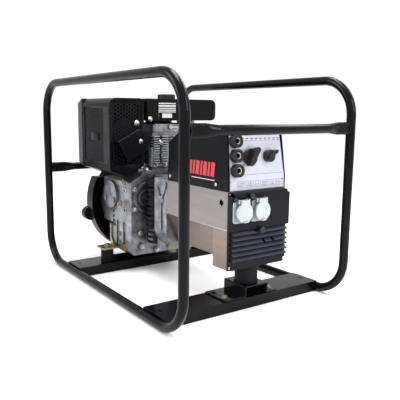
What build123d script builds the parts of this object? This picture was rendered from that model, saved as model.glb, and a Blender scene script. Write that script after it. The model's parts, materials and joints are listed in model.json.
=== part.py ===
from build123d import *
import math
import os

# Engine driven welder. Millimetres, +Z up, origin on the ground under the middle of the frame.
# +X points to the welding outlets, -Y to the exhaust side. The crankshaft lies along X.

# ---- carrying frame ----
frame_length = 850.0
frame_width = 560.0
frame_height = 616.0
tube_d = 25.0
tube_wall = 2.0
bend_radius = 96.0
front_bar_z = 476.0
rear_bar_z = 325.0
bar_end_height = 33.0
bar_end_thick = 13.0
bar_end_length = 42.0
channel_width = 94.0
channel_height = 30.0
channel_sheet = 3.0
channel_lip = 18.0
front_channel_x = 275.0
rear_channel_x = -217.0
hold_down_edge = 22.5
hold_down_hole_d = 10.0

# ---- rubber mounts and their brackets ----
front_mount_d = 66.0
front_mount_height = 52.0
rear_mount_d = 44.0
rear_mount_height = 39.0
rear_mount_near_y = -148.0
rear_mount_far_y = 212.0
mount_bolt_d = 10.0
hat_height = 30.0
hat_sheet = 4.0
hat_half_width = 40.0
hat_near_flange = 66.0
hat_far_flange = 34.0
hat_slot_inset = 14.0
hat_bolt_d = 8.0
angle_thick = 6.0
angle_height = 76.0
angle_overlap = 10.0
angle_flange_width = 50.0

# ---- crankshaft line ----
axis_y = 32.0
axis_z = 209.0

# ---- alternator ----
casing_rear_x = 22.0
casing_front_x = 312.0
casing_half_width = 99.0
casing_above_axis = 107.0
casing_knee_above_axis = 8.0
casing_below_axis = 85.0
casing_slope_in = 45.0
casing_sheet = 2.0
skirt_length = 59.0
foot_plate_thick = 5.0
stator_r = 80.0
stator_length = 150.0
air_gap = 1.0
rotor_r = 52.0
rotor_length = 150.0
stator_centre_x = 150.0
rotor_shaft_r = 16.0
rotor_fan_r = 73.0
end_shield_thick = 14.0
bearing_outer_r = 26.0
bearing_width = 12.0
running_gap = 0.05
clear = 0.5

# ---- adapter between the engine and the alternator ----
adapter_wall = 9.0
seat_pad_r = 9.0
adapter_bore_r = 84.0
adapter_flange_r = 82.0
adapter_arm_inner_r = 77.0
adapter_body_rear_x = -47.0
guard_bulge = 12.0
guard_out = 5.0
guard_slats = 13
guard_skin = 3.0
guard_above_axis = 101.0
guard_below_axis = 103.0
guard_bar = 5.0

# ---- engine ----
engine_face_x = -115.0
cover_thick = 12.0
crankcase_length = 182.0
crankcase_near = 144.0
crankcase_far = 104.0
crankcase_below_axis = 150.0
deck_above_axis = 121.0
crankcase_wall = 8.0
shoulder_run = 62.0
pump_r = 13.0
pump_gap = 2.0
cylinder_x = -187.0
cylinder_bore_r = 43.0
cylinder_height = 75.0
cylinder_fin_half = 65.0
cylinder_barrel_r = 52.0
fin_pitch = 9.0
fin_thick = 3.0
head_height = 43.0
rocker_height = 32.0
crank_throw = 36.0
crank_web_r = 44.0
crank_pin_r = 18.0
crank_eye = 5.0
journal_r = 22.0
piston_below_pin = 30.0
piston_wall = 6.0
piston_flank = 20.0
piston_clearance = 0.15
rod_length = 118.0
flywheel_r = 138.0
flywheel_width = 26.0
fan_housing_r = 165.0
fan_lower_r = 189.0
fan_lower_above_axis = 85.0
lobe_r = 24.0
lobe_out = 180.0
lobe_drop = 44.0
shroud_near = 92.0
shroud_far = 112.0
fan_housing_depth = 44.0
shroud_sheet = 2.0
recoil_r = 100.0
recoil_depth = 40.0
recoil_round = 12.0
recoil_pulley_r = 60.0
recoil_post_r = 12.0
rope_r = 2.5
rope_tail = 55.0

# ---- fuel tank and air cleaner ----
tank_rear_x = -300.0
tank_front_x = -118.0
tank_near_y = -51.0
tank_far_y = 217.0
tank_bottom_z = 487.0
tank_top_z = 556.0
tank_foot_spacing = 56.0
tank_wall = 2.5
tank_corner = 18.0
fuel_cap_r = 30.0
air_cleaner_r = 48.0
air_cleaner_length = 130.0
air_cleaner_y = 197.0
air_cleaner_z = 408.0
air_cleaner_x = -205.0

# ---- muffler ----
guard_front_x = -117.0
guard_rear_x = -317.0
guard_near_y = -182.0
guard_far_y = -63.0
guard_bottom_z = 335.0
guard_top_z = 556.0
guard_sheet = 1.6
guard_corner = 14.0
cap_gap = 4.0
cap_length = 68.0
cap_taper = 14.0
cap_wall = 4.0
cap_corner = 9.0
muffler_r = 46.0
port_gap = 8.0
deflector_y = -89.0
deflector_z = 425.0
deflector_r = 36.0
deflector_reach = 68.0
deflector_depth = 25.0
deflector_wall = 2.0
outlet_r = 12.0
outlet_reach = 32.0
deflector_tilt = 27.0

# ---- console ----
console_rear_x = 30.0
console_top_z = 475.0
console_sheet = 2.0
console_lean = 15.0
console_taper = 6.0
console_lean_from_z = 347.0
console_rear_wall_height = 112.0
console_slope_run = 75.0
panel_sheet = 2.0
panel_rim_near = 6.0
panel_rim_far = 7.0
panel_rim_end = 4.0
lip_width = 8.0
weld_socket_y = -43.0
weld_socket_first_z = 369.0
weld_socket_pitch = 37.0
weld_socket_count = 3
weld_socket_r = 17.0
weld_socket_out = 18.0
weld_socket_in = 34.0
weld_contact_r = 8.5
weld_bore_r = 6.5
weld_bore_depth = 28.0
switch_y = 5.0
switch_z = 402.0
switch_base_r = 22.0
selector_y = 68.0
selector_base_r = 16.0
spindle_r = 4.0

# ---- end cover and mains sockets ----
cover_depth_low = 8.0
cover_depth_high = 20.0
cover_wall = 3.0
socket_box_bottom_z = 218.0
cover_notch = 8.0
cover_screw_inset = 4.5
slat_count = 6
slat_pitch = 13.6
slat_out = 13.0
slat_drop = 9.0
slat_end_gap = 4.0
socket_y = (-38.5, 21.0)
socket_z = 266.0
socket_flange = 55.0
socket_flange_thick = 4.0
socket_well_r = 20.5
socket_well_depth = 18.0
socket_ring_out = 7.0
lid_r = 25.0
lid_thick = 7.0
lid_pin_r = 1.5
button_stem_r = 3.0
button_spots = ((-61.3, 299.8, 4.5), (-8.5, 305.0, 7.5), (28.0, 214.0, 8.5))
button_travel = 3.0

# ---- places that follow from the sizes above ----
tube_r = tube_d / 2
hoop_y = frame_width / 2 - tube_r
leg_x = frame_length / 2 - tube_r
channel_half = hoop_y - tube_r * 0.2
hold_down_y = hoop_y - hold_down_edge
casing_near_y = axis_y - casing_half_width
casing_far_y = axis_y + casing_half_width
casing_top_z = axis_z + casing_above_axis
case_rear_x = engine_face_x - cover_thick - crankcase_length
case_front_x = engine_face_x - cover_thick
case_near_y = axis_y - crankcase_near
case_far_y = axis_y + crankcase_far
case_bottom_z = axis_z - crankcase_below_axis
deck_z = axis_z + deck_above_axis
head_z = deck_z + cylinder_height
rocker_z = head_z + head_height
rocker_top_z = rocker_z + rocker_height
housing_x = case_rear_x - fan_housing_depth
recoil_x = housing_x - recoil_depth
rope_z = axis_z + recoil_pulley_r + rope_r + 0.3
hat_top_z = channel_height + hat_height
skirt_bottom_z = hat_top_z + front_mount_height
plate_x = casing_front_x + cover_depth_high
lean_angle = math.degrees(math.atan2(console_lean, console_top_z - console_lean_from_z))

nodes = {}


def block(x0, x1, y0, y1, z0, z1):
    """A box between two corners."""
    return Pos((x0 + x1) / 2, (y0 + y1) / 2, (z0 + z1) / 2) * Box(x1 - x0, y1 - y0, z1 - z0)


def rod_x(radius, x0, x1, y, z):
    """A round bar along X."""
    return Pos((x0 + x1) / 2, y, z) * Rot(0, 90, 0) * Cylinder(radius, x1 - x0)


def rod_y(radius, x, y0, y1, z):
    """A round bar along Y."""
    return Pos(x, (y0 + y1) / 2, z) * Rot(90, 0, 0) * Cylinder(radius, y1 - y0)


def rod_z(radius, x, y, z0, z1):
    """A round bar along Z."""
    return Pos(x, y, (z0 + z1) / 2) * Cylinder(radius, z1 - z0)


def ring_x(outer, inner, x0, x1, y, z):
    """A ring whose axis lies along X."""
    return rod_x(outer, x0, x1, y, z) - rod_x(inner, x0 - 1, x1 + 1, y, z)


def prism_x(points, x0, x1):
    """A (y, z) outline pushed along X from x0 to x1."""
    face = make_face(Polyline(*[(x0, y, z) for y, z in points], close=True))
    return extrude(face, amount=x1 - x0, dir=(1, 0, 0))


def prism_y(points, y0, y1):
    """An (x, z) outline pushed along Y from y0 to y1."""
    face = make_face(Polyline(*[(x, y0, z) for x, z in points], close=True))
    return extrude(face, amount=y1 - y0, dir=(0, 1, 0))


def hex_bolt(across, height, x, y, z, direction):
    """A hexagon bolt head with its washer, standing out from (x, y, z) along direction."""
    seat = Plane(origin=(x, y, z), z_dir=direction)
    washer = extrude(seat * Circle(across * 0.72), amount=height * 0.2)
    head = extrude(seat.offset(height * 0.2) * RegularPolygon(across / 2, 6, major_radius=False), amount=height)
    return washer + head


def screw(radius, height, x, y, z, direction):
    """A round screw head with a slot, standing out from (x, y, z) along direction."""
    seat = Plane(origin=(x, y, z), z_dir=direction)
    head = extrude(seat * Circle(radius), amount=height)
    slot = extrude(seat.offset(height * 0.5) * Rectangle(radius * 0.35, radius * 3), amount=height)
    return head - slot


def group(pieces):
    """Several separate solids that make one node."""
    return Compound(children=[solid for piece in pieces for solid in piece.solids()])


# ======================= frame =======================

def hoop_solid(y, radius):
    """The closed rounded rectangle swept by one circle of the given radius."""
    x_in = leg_x - bend_radius
    z_low = tube_r + bend_radius
    z_high = frame_height - tube_r - bend_radius
    body = None
    for side in (-1, 1):
        leg = rod_z(radius, side * leg_x, y, z_low, z_high)
        body = leg if body is None else body + leg
    for z in (tube_r, frame_height - tube_r):
        body += rod_x(radius, -x_in, x_in, y, z)
    corners = ((x_in, z_high, 0), (-x_in, z_high, 90), (-x_in, z_low, 180), (x_in, z_low, 270))
    for x, z, turn in corners:
        start = Plane(origin=(bend_radius, 0, 0), x_dir=(1, 0, 0), z_dir=(0, 1, 0))
        elbow = revolve(start * Circle(radius), Axis.Z, 90)
        body += Pos(x, y, z) * Rot(0, -turn, 0) * Rot(90, 0, 0) * elbow
    return body


def make_hoop(y):
    return hoop_solid(y, tube_r) - hoop_solid(y, tube_r - tube_wall)


def make_crossbar(side, z):
    """A tube across the frame whose ends are pressed flat and shaped to the legs."""
    x = side * leg_x
    flat_from = hoop_y - tube_r - bar_end_length
    round_to = flat_from - bar_end_length * 0.8
    bar = rod_y(tube_r, x, -round_to, round_to, z) - rod_y(tube_r - tube_wall, x, -round_to - 1, round_to + 1, z)
    for end in (-1, 1):
        near = Plane(origin=(x, end * round_to, z), x_dir=(1, 0, 0), z_dir=(0, end, 0))
        far = Plane(origin=(x, end * flat_from, z), x_dir=(1, 0, 0), z_dir=(0, end, 0))
        paddle = far * SlotOverall(bar_end_height, bar_end_thick, rotation=90)
        bar += loft([near * Circle(tube_r), paddle])
        bar += extrude(paddle, amount=bar_end_length + tube_r)
    for end in (-1, 1):
        bar -= rod_z(tube_r, x, end * hoop_y, z - 60, z + 60)
    return bar


def make_channel(x, bolt_holes):
    """A folded sheet cross member, open below, with lips turned in along the ground.

    bolt_holes lists (x, y, diameter) of the holes in its top.
    """
    half = channel_width / 2
    s = channel_sheet
    member = block(x - half, x + half, -channel_half, channel_half, 0, channel_height)
    member -= block(x - half + s, x + half - s, -channel_half - 1, channel_half + 1, s, channel_height - s)
    slot = half - channel_lip
    member -= block(x - slot, x + slot, -channel_half - 1, channel_half + 1, -1, s + 1)
    for end in (-1, 1):
        member -= hoop_solid(end * hoop_y, tube_r)
    hold_downs = [(x, end * hold_down_y, hold_down_hole_d) for end in (-1, 1)]
    for hole_x, hole_y, diameter in hold_downs + bolt_holes:
        member -= rod_z(diameter / 2, hole_x, hole_y, channel_height - 2 * s, channel_height + 1)
    return member


# ======================= mounts =======================

def rear_mount_places():
    return ((rear_channel_x, rear_mount_near_y, -1), (rear_channel_x, rear_mount_far_y, 1))


def hat_slot_places():
    """Y of the slots in the bracket's two flanges."""
    return (axis_y - hat_half_width - hat_near_flange + hat_slot_inset,
            axis_y + hat_half_width + hat_far_flange - hat_slot_inset)


def hat_slot_xs():
    """X of the slots: the first stays free, a bolt sits in the second."""
    return (front_channel_x - channel_width / 4, front_channel_x + channel_width / 4)


def make_front_bracket():
    """A folded hat section that lifts the front mount off the channel."""
    t = hat_sheet
    half = channel_width / 2 - 2
    x0, x1 = front_channel_x - half, front_channel_x + half
    y0, y1 = axis_y - hat_half_width, axis_y + hat_half_width
    hat = block(x0, x1, y0, y1, hat_top_z - t, hat_top_z)
    hat += block(x0, x1, y0, y0 + t, channel_height, hat_top_z)
    hat += block(x0, x1, y1 - t, y1, channel_height, hat_top_z)
    hat += block(x0, x1, y0 - hat_near_flange, y0 + t, channel_height, channel_height + t)
    hat += block(x0, x1, y1 - t, y1 + hat_far_flange, channel_height, channel_height + t)
    for y in hat_slot_places():
        for x in hat_slot_xs():
            spot = Plane.XY.offset(channel_height - 1) * Pos(x, y)
            hat -= extrude(spot * SlotOverall(hat_bolt_d * 2.2, hat_bolt_d + clear), amount=t + 2)
    hat -= rod_z(mount_bolt_d / 2, front_channel_x, axis_y, hat_top_z - t - 1, hat_top_z + 1)
    return fillet(hat.edges().filter_by(Axis.X).group_by(Axis.Z)[-1], t * 0.9)


def make_rubber_mounts():
    """Bonded rubber blocks with steel end plates: one in front, two behind."""
    pieces = []
    front_top = hat_top_z + front_mount_height
    places = [(front_channel_x, axis_y, front_mount_d, hat_top_z, front_top)]
    for x, y, _ in rear_mount_places():
        places.append((x, y, rear_mount_d, channel_height, channel_height + rear_mount_height))
    for x, y, diameter, low, high in places:
        rubber = rod_z(diameter / 2 - 1.5, x, y, low + 2.5, high - 2.5)
        rubber += rod_z(diameter / 2, x, y, low, low + 2.5) + rod_z(diameter / 2, x, y, high - 2.5, high)
        pieces.append(rubber - rod_z(mount_bolt_d / 2, x, y, low - 1, high + 1))
    return group(pieces)


def make_rear_angles():
    """Angle brackets that join the crankcase feet to the rear mounts."""
    pieces = []
    for x, y, side in rear_mount_places():
        low = channel_height + rear_mount_height
        face_x = x - 23
        inner = case_near_y if side < 0 else case_far_y
        y0, y1 = sorted((y + side * 24, inner))
        shelf = block(face_x - angle_thick, x + 24, y0, y1, low, low + angle_thick)
        outer = inner + side * angle_overlap
        f0, f1 = sorted((outer, outer - side * angle_flange_width))
        shelf += block(face_x - angle_thick, face_x, f0, f1, low, low + angle_height)
        g0, g1 = sorted((outer, outer - side * 4))
        rib = [(face_x, low + angle_thick), (x - 4, low + angle_thick), (face_x, low + angle_height * 0.4)]
        shelf += prism_y(rib, g0, g1)
        pieces.append(shelf - rod_z(mount_bolt_d / 2, x, y, low - 1, low + angle_thick + 1))
    return group(pieces)


def make_mount_fasteners():
    """Studs, nuts and bolt heads of the three mounts and their brackets."""
    pieces = []
    shank = mount_bolt_d / 2 - 0.1
    front_top = hat_top_z + front_mount_height
    stud = rod_z(shank, front_channel_x, axis_y, hat_top_z - 16, skirt_bottom_z + foot_plate_thick)
    stud += hex_bolt(17, 7, front_channel_x, axis_y, hat_top_z - hat_sheet, (0, 0, -1))
    pieces.append(stud)
    for y in hat_slot_places():
        x = hat_slot_xs()[1]
        bolt = rod_z(hat_bolt_d / 2, x, y, channel_height - channel_sheet - 6, channel_height + hat_sheet)
        bolt += hex_bolt(13, 5, x, y, channel_height + hat_sheet, (0, 0, 1))
        bolt += hex_bolt(13, 5, x, y, channel_height - channel_sheet, (0, 0, -1))
        pieces.append(bolt)
    for x, y, side in rear_mount_places():
        low = channel_height + rear_mount_height
        bolt = rod_z(shank, x, y, channel_height - channel_sheet - 8, low + angle_thick)
        bolt += hex_bolt(17, 7, x, y, low + angle_thick, (0, 0, 1))
        bolt += hex_bolt(17, 6, x, y, channel_height - channel_sheet, (0, 0, -1))
        pieces.append(bolt)
        edge = case_near_y if side < 0 else case_far_y
        foot_y = edge - side * 4
        for z in (low + 18, low + 50):
            face_x = x - 23 - angle_thick
            pieces.append(hex_bolt(13, 6, face_x, foot_y, z, (-1, 0, 0)))
    return group(pieces)


# ======================= engine =======================

def bolt_circle(count, radius, first=0.0):
    """(y, z) points round the crankshaft axis."""
    angles = [math.radians(first + 360 * i / count) for i in range(count)]
    return [(axis_y + radius * math.cos(a), axis_z + radius * math.sin(a)) for a in angles]


def cover_outline(inset):
    """The (y, z) outline of the crankcase seen along the crankshaft."""
    near, far = case_near_y + inset, case_far_y - inset
    low, high = case_bottom_z + inset, deck_z - inset
    shoulder = 60.0
    return [
        (near, low + 10), (near + 10, low), (far - 20, low), (far, low + 20),
        (far, high - shoulder), (far - 24, high), (near + shoulder_run, high), (near, high - shoulder * 0.6),
    ]


def make_crankcase():
    """Cast aluminium crankcase, open at the cover end and under the cylinder."""
    body = prism_x(cover_outline(0), case_rear_x, case_front_x)
    body -= prism_x(cover_outline(crankcase_wall), case_rear_x + crankcase_wall, case_front_x + 1)
    foot_x0 = rear_channel_x - 23
    arch = [(foot_x0 + 12, case_bottom_z - 1), (foot_x0 + 28, case_bottom_z + 22),
            (foot_x0 + 44, case_bottom_z + 22), (foot_x0 + 76, case_bottom_z - 1)]
    notch = prism_y(arch, case_near_y - 1, case_near_y + crankcase_wall - 3)
    body -= notch
    body -= block(case_rear_x - 1, foot_x0, case_near_y - 1, case_far_y + 1, case_bottom_z - 1, axis_z - 60)
    body += block(foot_x0, foot_x0 + crankcase_wall, case_near_y, case_far_y, case_bottom_z + 14, axis_z - 55)
    body += block(case_rear_x, foot_x0 + 2, case_near_y + 20, case_far_y, axis_z - 62, axis_z - 60 + crankcase_wall)
    body -= rod_z(cylinder_bore_r + 5, cylinder_x, axis_y, deck_z - crankcase_wall - 4, deck_z + 1)
    for side, edge in ((-1, case_near_y), (1, case_far_y)):
        low = channel_height + rear_mount_height + angle_thick + 1
        y0, y1 = sorted((edge + side * (angle_overlap - 5), edge - side * crankcase_wall * 0.5))
        body += block(foot_x0, foot_x0 + 30, y0, y1, low, low + angle_height - 12)
    for z in (axis_z - 54, axis_z - 38, axis_z - 22):
        body -= block(foot_x0 - 2, foot_x0 + 8, case_near_y - 1, case_near_y + 4, z - 5.5, z + 5.5)
    for x in (foot_x0 + 30, foot_x0 + 74):
        body += block(x - 2.5, x + 2.5, case_near_y - 4, case_near_y + 2, case_bottom_z + 30, axis_z - 50)
    drum = rod_y(46, case_rear_x + 62, case_near_y - 9, case_near_y + 3, axis_z + 34)
    body += drum & block(case_rear_x, case_front_x, case_near_y - 9, case_near_y + 3, axis_z - 30, deck_z - 40)
    for x in (case_rear_x + 34, case_rear_x + 92):
        body += rod_y(8, x, case_near_y - 14, case_near_y, axis_z + 18)
    body -= rod_x(bearing_outer_r, case_rear_x - 1, case_rear_x + crankcase_wall + 1, axis_y, axis_z)
    x, y = pump_place()
    body -= rod_z(pump_r, x, y, deck_z - 2 * crankcase_wall, deck_z + 1)
    return body


def pump_place():
    """X and Y of the injection pump, between the exhaust guard and the cylinder."""
    return case_front_x - 30, axis_y - cylinder_fin_half - pump_gap - pump_r


def cover_bolt_places():
    """(y, z) of the bolts round the crankcase cover."""
    near, far, low, high = case_near_y, case_far_y, case_bottom_z, deck_z
    return [(near + 12, high - 58), (near + 12, high - 121), (near + 30, high - 198), (near + 35, low + 28),
            (near + 91, low + 11), (far - 46, low + 11), (far - 24, low + 81), (far - 24, high - 68)]


def make_crankcase_cover():
    """Ribbed end cover that carries the front crank bearing and the camshaft boss."""
    cover = prism_x(cover_outline(0), case_front_x, engine_face_x)
    boss_y, boss_z = axis_y - 94, axis_z + 35
    cover += ring_x(50, 42, engine_face_x - 1, engine_face_x + 6, boss_y + 8, boss_z)
    cover += ring_x(26, 20, engine_face_x - 1, engine_face_x + 6, boss_y, boss_z)
    for y, z in cover_bolt_places():
        cover += rod_x(10, engine_face_x - 1, engine_face_x + 7, y, z)
    for y in [axis_y + 30 * i for i in (-3, -2, -1, 0, 1, 2)]:
        cover += block(engine_face_x - 1, engine_face_x + 4, y - 2, y + 2, case_bottom_z + 36, case_bottom_z + 64)
    outside = block(engine_face_x - 30, engine_face_x + 30, case_near_y, case_far_y, case_bottom_z, deck_z)
    cover = cover & outside
    cover += rod_x(journal_r + 16, case_front_x - 14, case_front_x + 1, axis_y, axis_z)
    cover -= rod_x(journal_r + running_gap, case_front_x - 20, engine_face_x + 20, axis_y, axis_z)
    cover -= rod_x(bearing_outer_r + 2, case_front_x - 20, case_front_x + 4, axis_y, axis_z)
    return cover


def make_crankcase_bolts():
    """Hexagon bolts of the cover, the cylinder base and the head."""
    pieces = []
    for y, z in cover_bolt_places():
        pieces.append(hex_bolt(10, 6, engine_face_x + 7, y, z, (1, 0, 0)))
    for y in (axis_y - 75, axis_y + 75):
        pieces.append(hex_bolt(12, 6, case_front_x - 6, y, deck_z, (0, 0, 1)))
    return group(pieces)


def make_drain_plugs():
    """Large brass drain plug below the shaft and a second one on the exhaust side."""
    main = hex_bolt(20, 8, engine_face_x, axis_y, case_bottom_z + 17, (1, 0, 0))
    side = hex_bolt(19, 7, cylinder_x + 30, case_near_y, case_bottom_z + 18, (0, -1, 0))
    return group([main, side])


def make_bearings():
    """Ball bearings of the crankshaft and of the rotor, each drawn as one closed ring."""
    front = ring_x(bearing_outer_r + 2, journal_r + running_gap, case_front_x - 8, case_front_x + 4, axis_y, axis_z)
    rear = ring_x(bearing_outer_r, journal_r * 0.8 + running_gap, case_rear_x, case_rear_x + crankcase_wall,
                  axis_y, axis_z)
    shield_x = casing_front_x - 2
    tail = ring_x(bearing_outer_r, rotor_shaft_r + running_gap, shield_x - bearing_width, shield_x, axis_y, axis_z)
    return group([front, rear, tail])


def make_crankshaft():
    """Crankshaft with two webs, a crank pin, a taper end and the flywheel end."""
    shaft = rod_x(journal_r, cylinder_x + 30, engine_face_x + 16, axis_y, axis_z)
    shaft += rod_x(rotor_shaft_r - 2, engine_face_x + 15, engine_face_x + 60, axis_y, axis_z)
    shaft += rod_x(journal_r * 0.8, housing_x - 6, cylinder_x - 30, axis_y, axis_z)
    for x in (cylinder_x - 31, cylinder_x + 17):
        shaft += rod_x(crank_web_r, x, x + 14, axis_y, axis_z)
        shaft += rod_x(crank_pin_r + crank_eye, x, x + 14, axis_y, axis_z + crank_throw)
    shaft += rod_x(crank_pin_r, cylinder_x - 20, cylinder_x + 20, axis_y, axis_z + crank_throw)
    return shaft


def make_flywheel():
    """Flywheel with its cooling blades, keyed to the crankshaft."""
    rear = case_rear_x - 8
    wheel = ring_x(flywheel_r, journal_r * 0.8, rear - flywheel_width, rear, axis_y, axis_z)
    wheel -= ring_x(flywheel_r - 16, 40, rear - flywheel_width * 0.55, rear + 1, axis_y, axis_z)
    blade = block(rear - flywheel_width - 8, rear - flywheel_width + 1, -3, 3, 70, flywheel_r - 2)
    for i in range(12):
        wheel += Pos(0, axis_y, axis_z) * Rot(30 * i, 0, 0) * blade
    return wheel


def make_cylinder():
    """Finned cylinder barrel on the crankcase deck."""
    barrel = rod_z(cylinder_barrel_r, cylinder_x, axis_y, deck_z, head_z)
    half = cylinder_fin_half
    count = int((cylinder_height - 6) / fin_pitch)
    for i in range(count):
        z = deck_z + 8 + i * fin_pitch
        fin = block(cylinder_x - half, cylinder_x + half, axis_y - half, axis_y + half, z, z + fin_thick)
        barrel += fillet(fin.edges().filter_by(Axis.Z), 16)
    barrel += block(cylinder_x - half, cylinder_x + half, axis_y - half, axis_y + half, deck_z, deck_z + 5)
    front = cylinder_x + half
    barrel += block(front - 14, front + 4, axis_y - half - 2, axis_y - 4, deck_z + 12, head_z - 2)
    barrel -= rod_z(cylinder_bore_r, cylinder_x, axis_y, deck_z - 1, head_z + 1)
    return barrel


def make_piston():
    """Piston with ring grooves, at the top of its stroke."""
    pin_z = axis_z + crank_throw + rod_length
    crown_z = head_z - clear
    skirt_z = pin_z - piston_below_pin
    radius = cylinder_bore_r - piston_clearance
    piston = rod_z(radius, cylinder_x, axis_y, skirt_z, crown_z)
    piston -= rod_z(radius - piston_wall, cylinder_x, axis_y, skirt_z - 1, crown_z - 10)
    for side in (-1, 1):
        x0, x1 = sorted((cylinder_x + side * piston_flank, cylinder_x + side * (radius + 1)))
        piston -= block(x0, x1, axis_y - radius, axis_y + radius, skirt_z - 1, skirt_z + 13)
    for i in range(3):
        z = crown_z - 8 - 6 * i
        piston -= rod_z(radius + 1, cylinder_x, axis_y, z - 2, z) - rod_z(radius - 3, cylinder_x, axis_y, z - 3, z + 1)
    piston += rod_x(11, cylinder_x - radius + 4, cylinder_x + radius - 4, axis_y, pin_z)
    return piston


def make_cylinder_head():
    """Finned head with the inlet and exhaust ports."""
    half = cylinder_fin_half
    head = block(cylinder_x - half + 8, cylinder_x + half - 8, axis_y - half + 8, axis_y + half - 8, head_z, rocker_z)
    for i in range(4):
        z = head_z + 4 + i * fin_pitch
        fin = block(cylinder_x - half, cylinder_x + half, axis_y - half, axis_y + half, z, z + fin_thick)
        head += fillet(fin.edges().filter_by(Axis.Z), 10)
    port_z = head_z + head_height / 2
    head += rod_y(22, cylinder_x, guard_far_y - port_gap, axis_y - half + 10, port_z)
    inlet = rod_y(21, cylinder_x, axis_y + half - 10, air_cleaner_y, port_z)
    return head + (inlet - rod_x(air_cleaner_r, case_rear_x - 50, case_front_x + 50, air_cleaner_y, air_cleaner_z))


def make_rocker_cover():
    """Rocker cover with a rounded top."""
    half = cylinder_fin_half - 12
    cover = block(cylinder_x - half, cylinder_x + half, axis_y - half, axis_y + half, rocker_z, rocker_top_z)
    cover = fillet(cover.edges().filter_by(Axis.Z), 16)
    return fillet(cover.edges().group_by(Axis.Z)[-1], 7)


def make_injection_pump():
    """Fuel injection pump on the crankcase shoulder."""
    x, y = pump_place()
    pump = rod_z(pump_r, x, y, deck_z - crankcase_wall, deck_z + 22)
    pump += rod_z(8, x, y, deck_z + 22, deck_z + 34)
    pump += rod_x(5, x, x + 22, y, deck_z + 14)
    pump += block(x - pump_r, x + pump_r, y - pump_r, y + pump_r, deck_z, deck_z + 5)
    return pump


def make_injector_pipe():
    """High pressure pipe from the pump to the injector, with the injector body."""
    x, y = pump_place()
    base_z = deck_z + 34
    top_z = head_z + 26
    side_x = x + 16
    path = FilletPolyline((x, y, base_z), (x, y, top_z), (side_x, y, top_z), (side_x, y + 12, top_z), radius=5)
    ring = Plane(origin=(x, y, base_z), z_dir=(0, 0, 1)) * Circle(3)
    pipe = sweep(ring, path=path)
    return pipe + rod_y(7, side_x, y + 6, axis_y - cylinder_fin_half, top_z)


def housing_profile(inset):
    """Round fan housing that rises to the cylinder, as a solid of the given inset."""
    x0, x1 = housing_x + inset, case_rear_x
    shape = rod_x(fan_housing_r - inset, x0, x1, axis_y, axis_z)
    below = block(x0, x1, axis_y - fan_lower_r, axis_y + fan_lower_r, axis_z - fan_lower_r,
                  axis_z + fan_lower_above_axis - inset)
    shape += rod_x(fan_lower_r - inset, x0, x1, axis_y, axis_z) & below
    shape += block(x0, x1, axis_y - shroud_near + inset, axis_y + shroud_far - inset, axis_z, rocker_z - inset)
    return shape


def make_fan_housing():
    """Sheet steel fan housing, open towards the crankcase and at the recoil starter."""
    shell = housing_profile(0) - housing_profile(shroud_sheet)
    top_front = cylinder_x - cylinder_fin_half - 3
    near, far = axis_y - shroud_near, axis_y + shroud_far
    duct = block(case_rear_x, top_front, near, far, deck_z + 6, rocker_z)
    s = shroud_sheet
    duct -= block(case_rear_x - 1, top_front + 1, near + s, far - s, deck_z + 6 + s, rocker_z - s)
    shell += duct
    shell -= rod_x(recoil_r - 12, housing_x - 1, housing_x + s + 1, axis_y, axis_z)
    lobe = rod_x(lobe_r, housing_x - 14, housing_x + 12, axis_y - lobe_out, axis_z - lobe_drop)
    return shell + (lobe - housing_profile(shroud_sheet))


def make_recoil_cover():
    """Domed recoil starter cover with air slots and a rope eye."""
    s = shroud_sheet

    def dome(inset, x1):
        disc = rod_x(recoil_r - inset, recoil_x + inset, x1, axis_y, axis_z)
        return fillet(disc.faces().sort_by(Axis.X)[0].edges(), recoil_round - inset)

    cover = dome(0, housing_x) - dome(s, housing_x + 1)
    slot = block(recoil_x - 2, recoil_x + s + 3, -4, 4, 40, recoil_r - 22)
    for i in range(10):
        cover -= Pos(0, axis_y, axis_z) * Rot(36 * i + 18, 0, 0) * slot
    cover -= rod_y(rope_r + 1.5, recoil_x + recoil_depth / 2, axis_y, axis_y + recoil_r + 5, rope_z)
    cover += rod_x(recoil_post_r, recoil_x, housing_x - 10, axis_y, axis_z)
    return cover


def make_recoil_pulley():
    """Rope pulley that turns on the recoil cover's centre post."""
    mid = recoil_x + recoil_depth / 2
    width = 12.0
    rim = recoil_pulley_r + 2 * rope_r + 3
    pulley = ring_x(rim, recoil_post_r + running_gap, mid - width / 2, mid + width / 2, axis_y, axis_z)
    groove = ring_x(rim + 1, recoil_pulley_r, mid - 4, mid + 4, axis_y, axis_z)
    return pulley - groove


def make_recoil_handle():
    """Pull handle with the first stretch of rope fixed in it."""
    x = recoil_x + recoil_depth / 2
    grip_y = axis_y + recoil_r * 0.9 + 26
    grip = rod_x(10, x - 17, x + 17, grip_y, rope_z)
    grip = fillet(grip.faces().filter_by(GeomType.PLANE).edges(), 4)
    return grip + rod_y(rope_r, x, axis_y - rope_tail, grip_y - 6, rope_z)


# ======================= fuel, air and exhaust =======================

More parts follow.
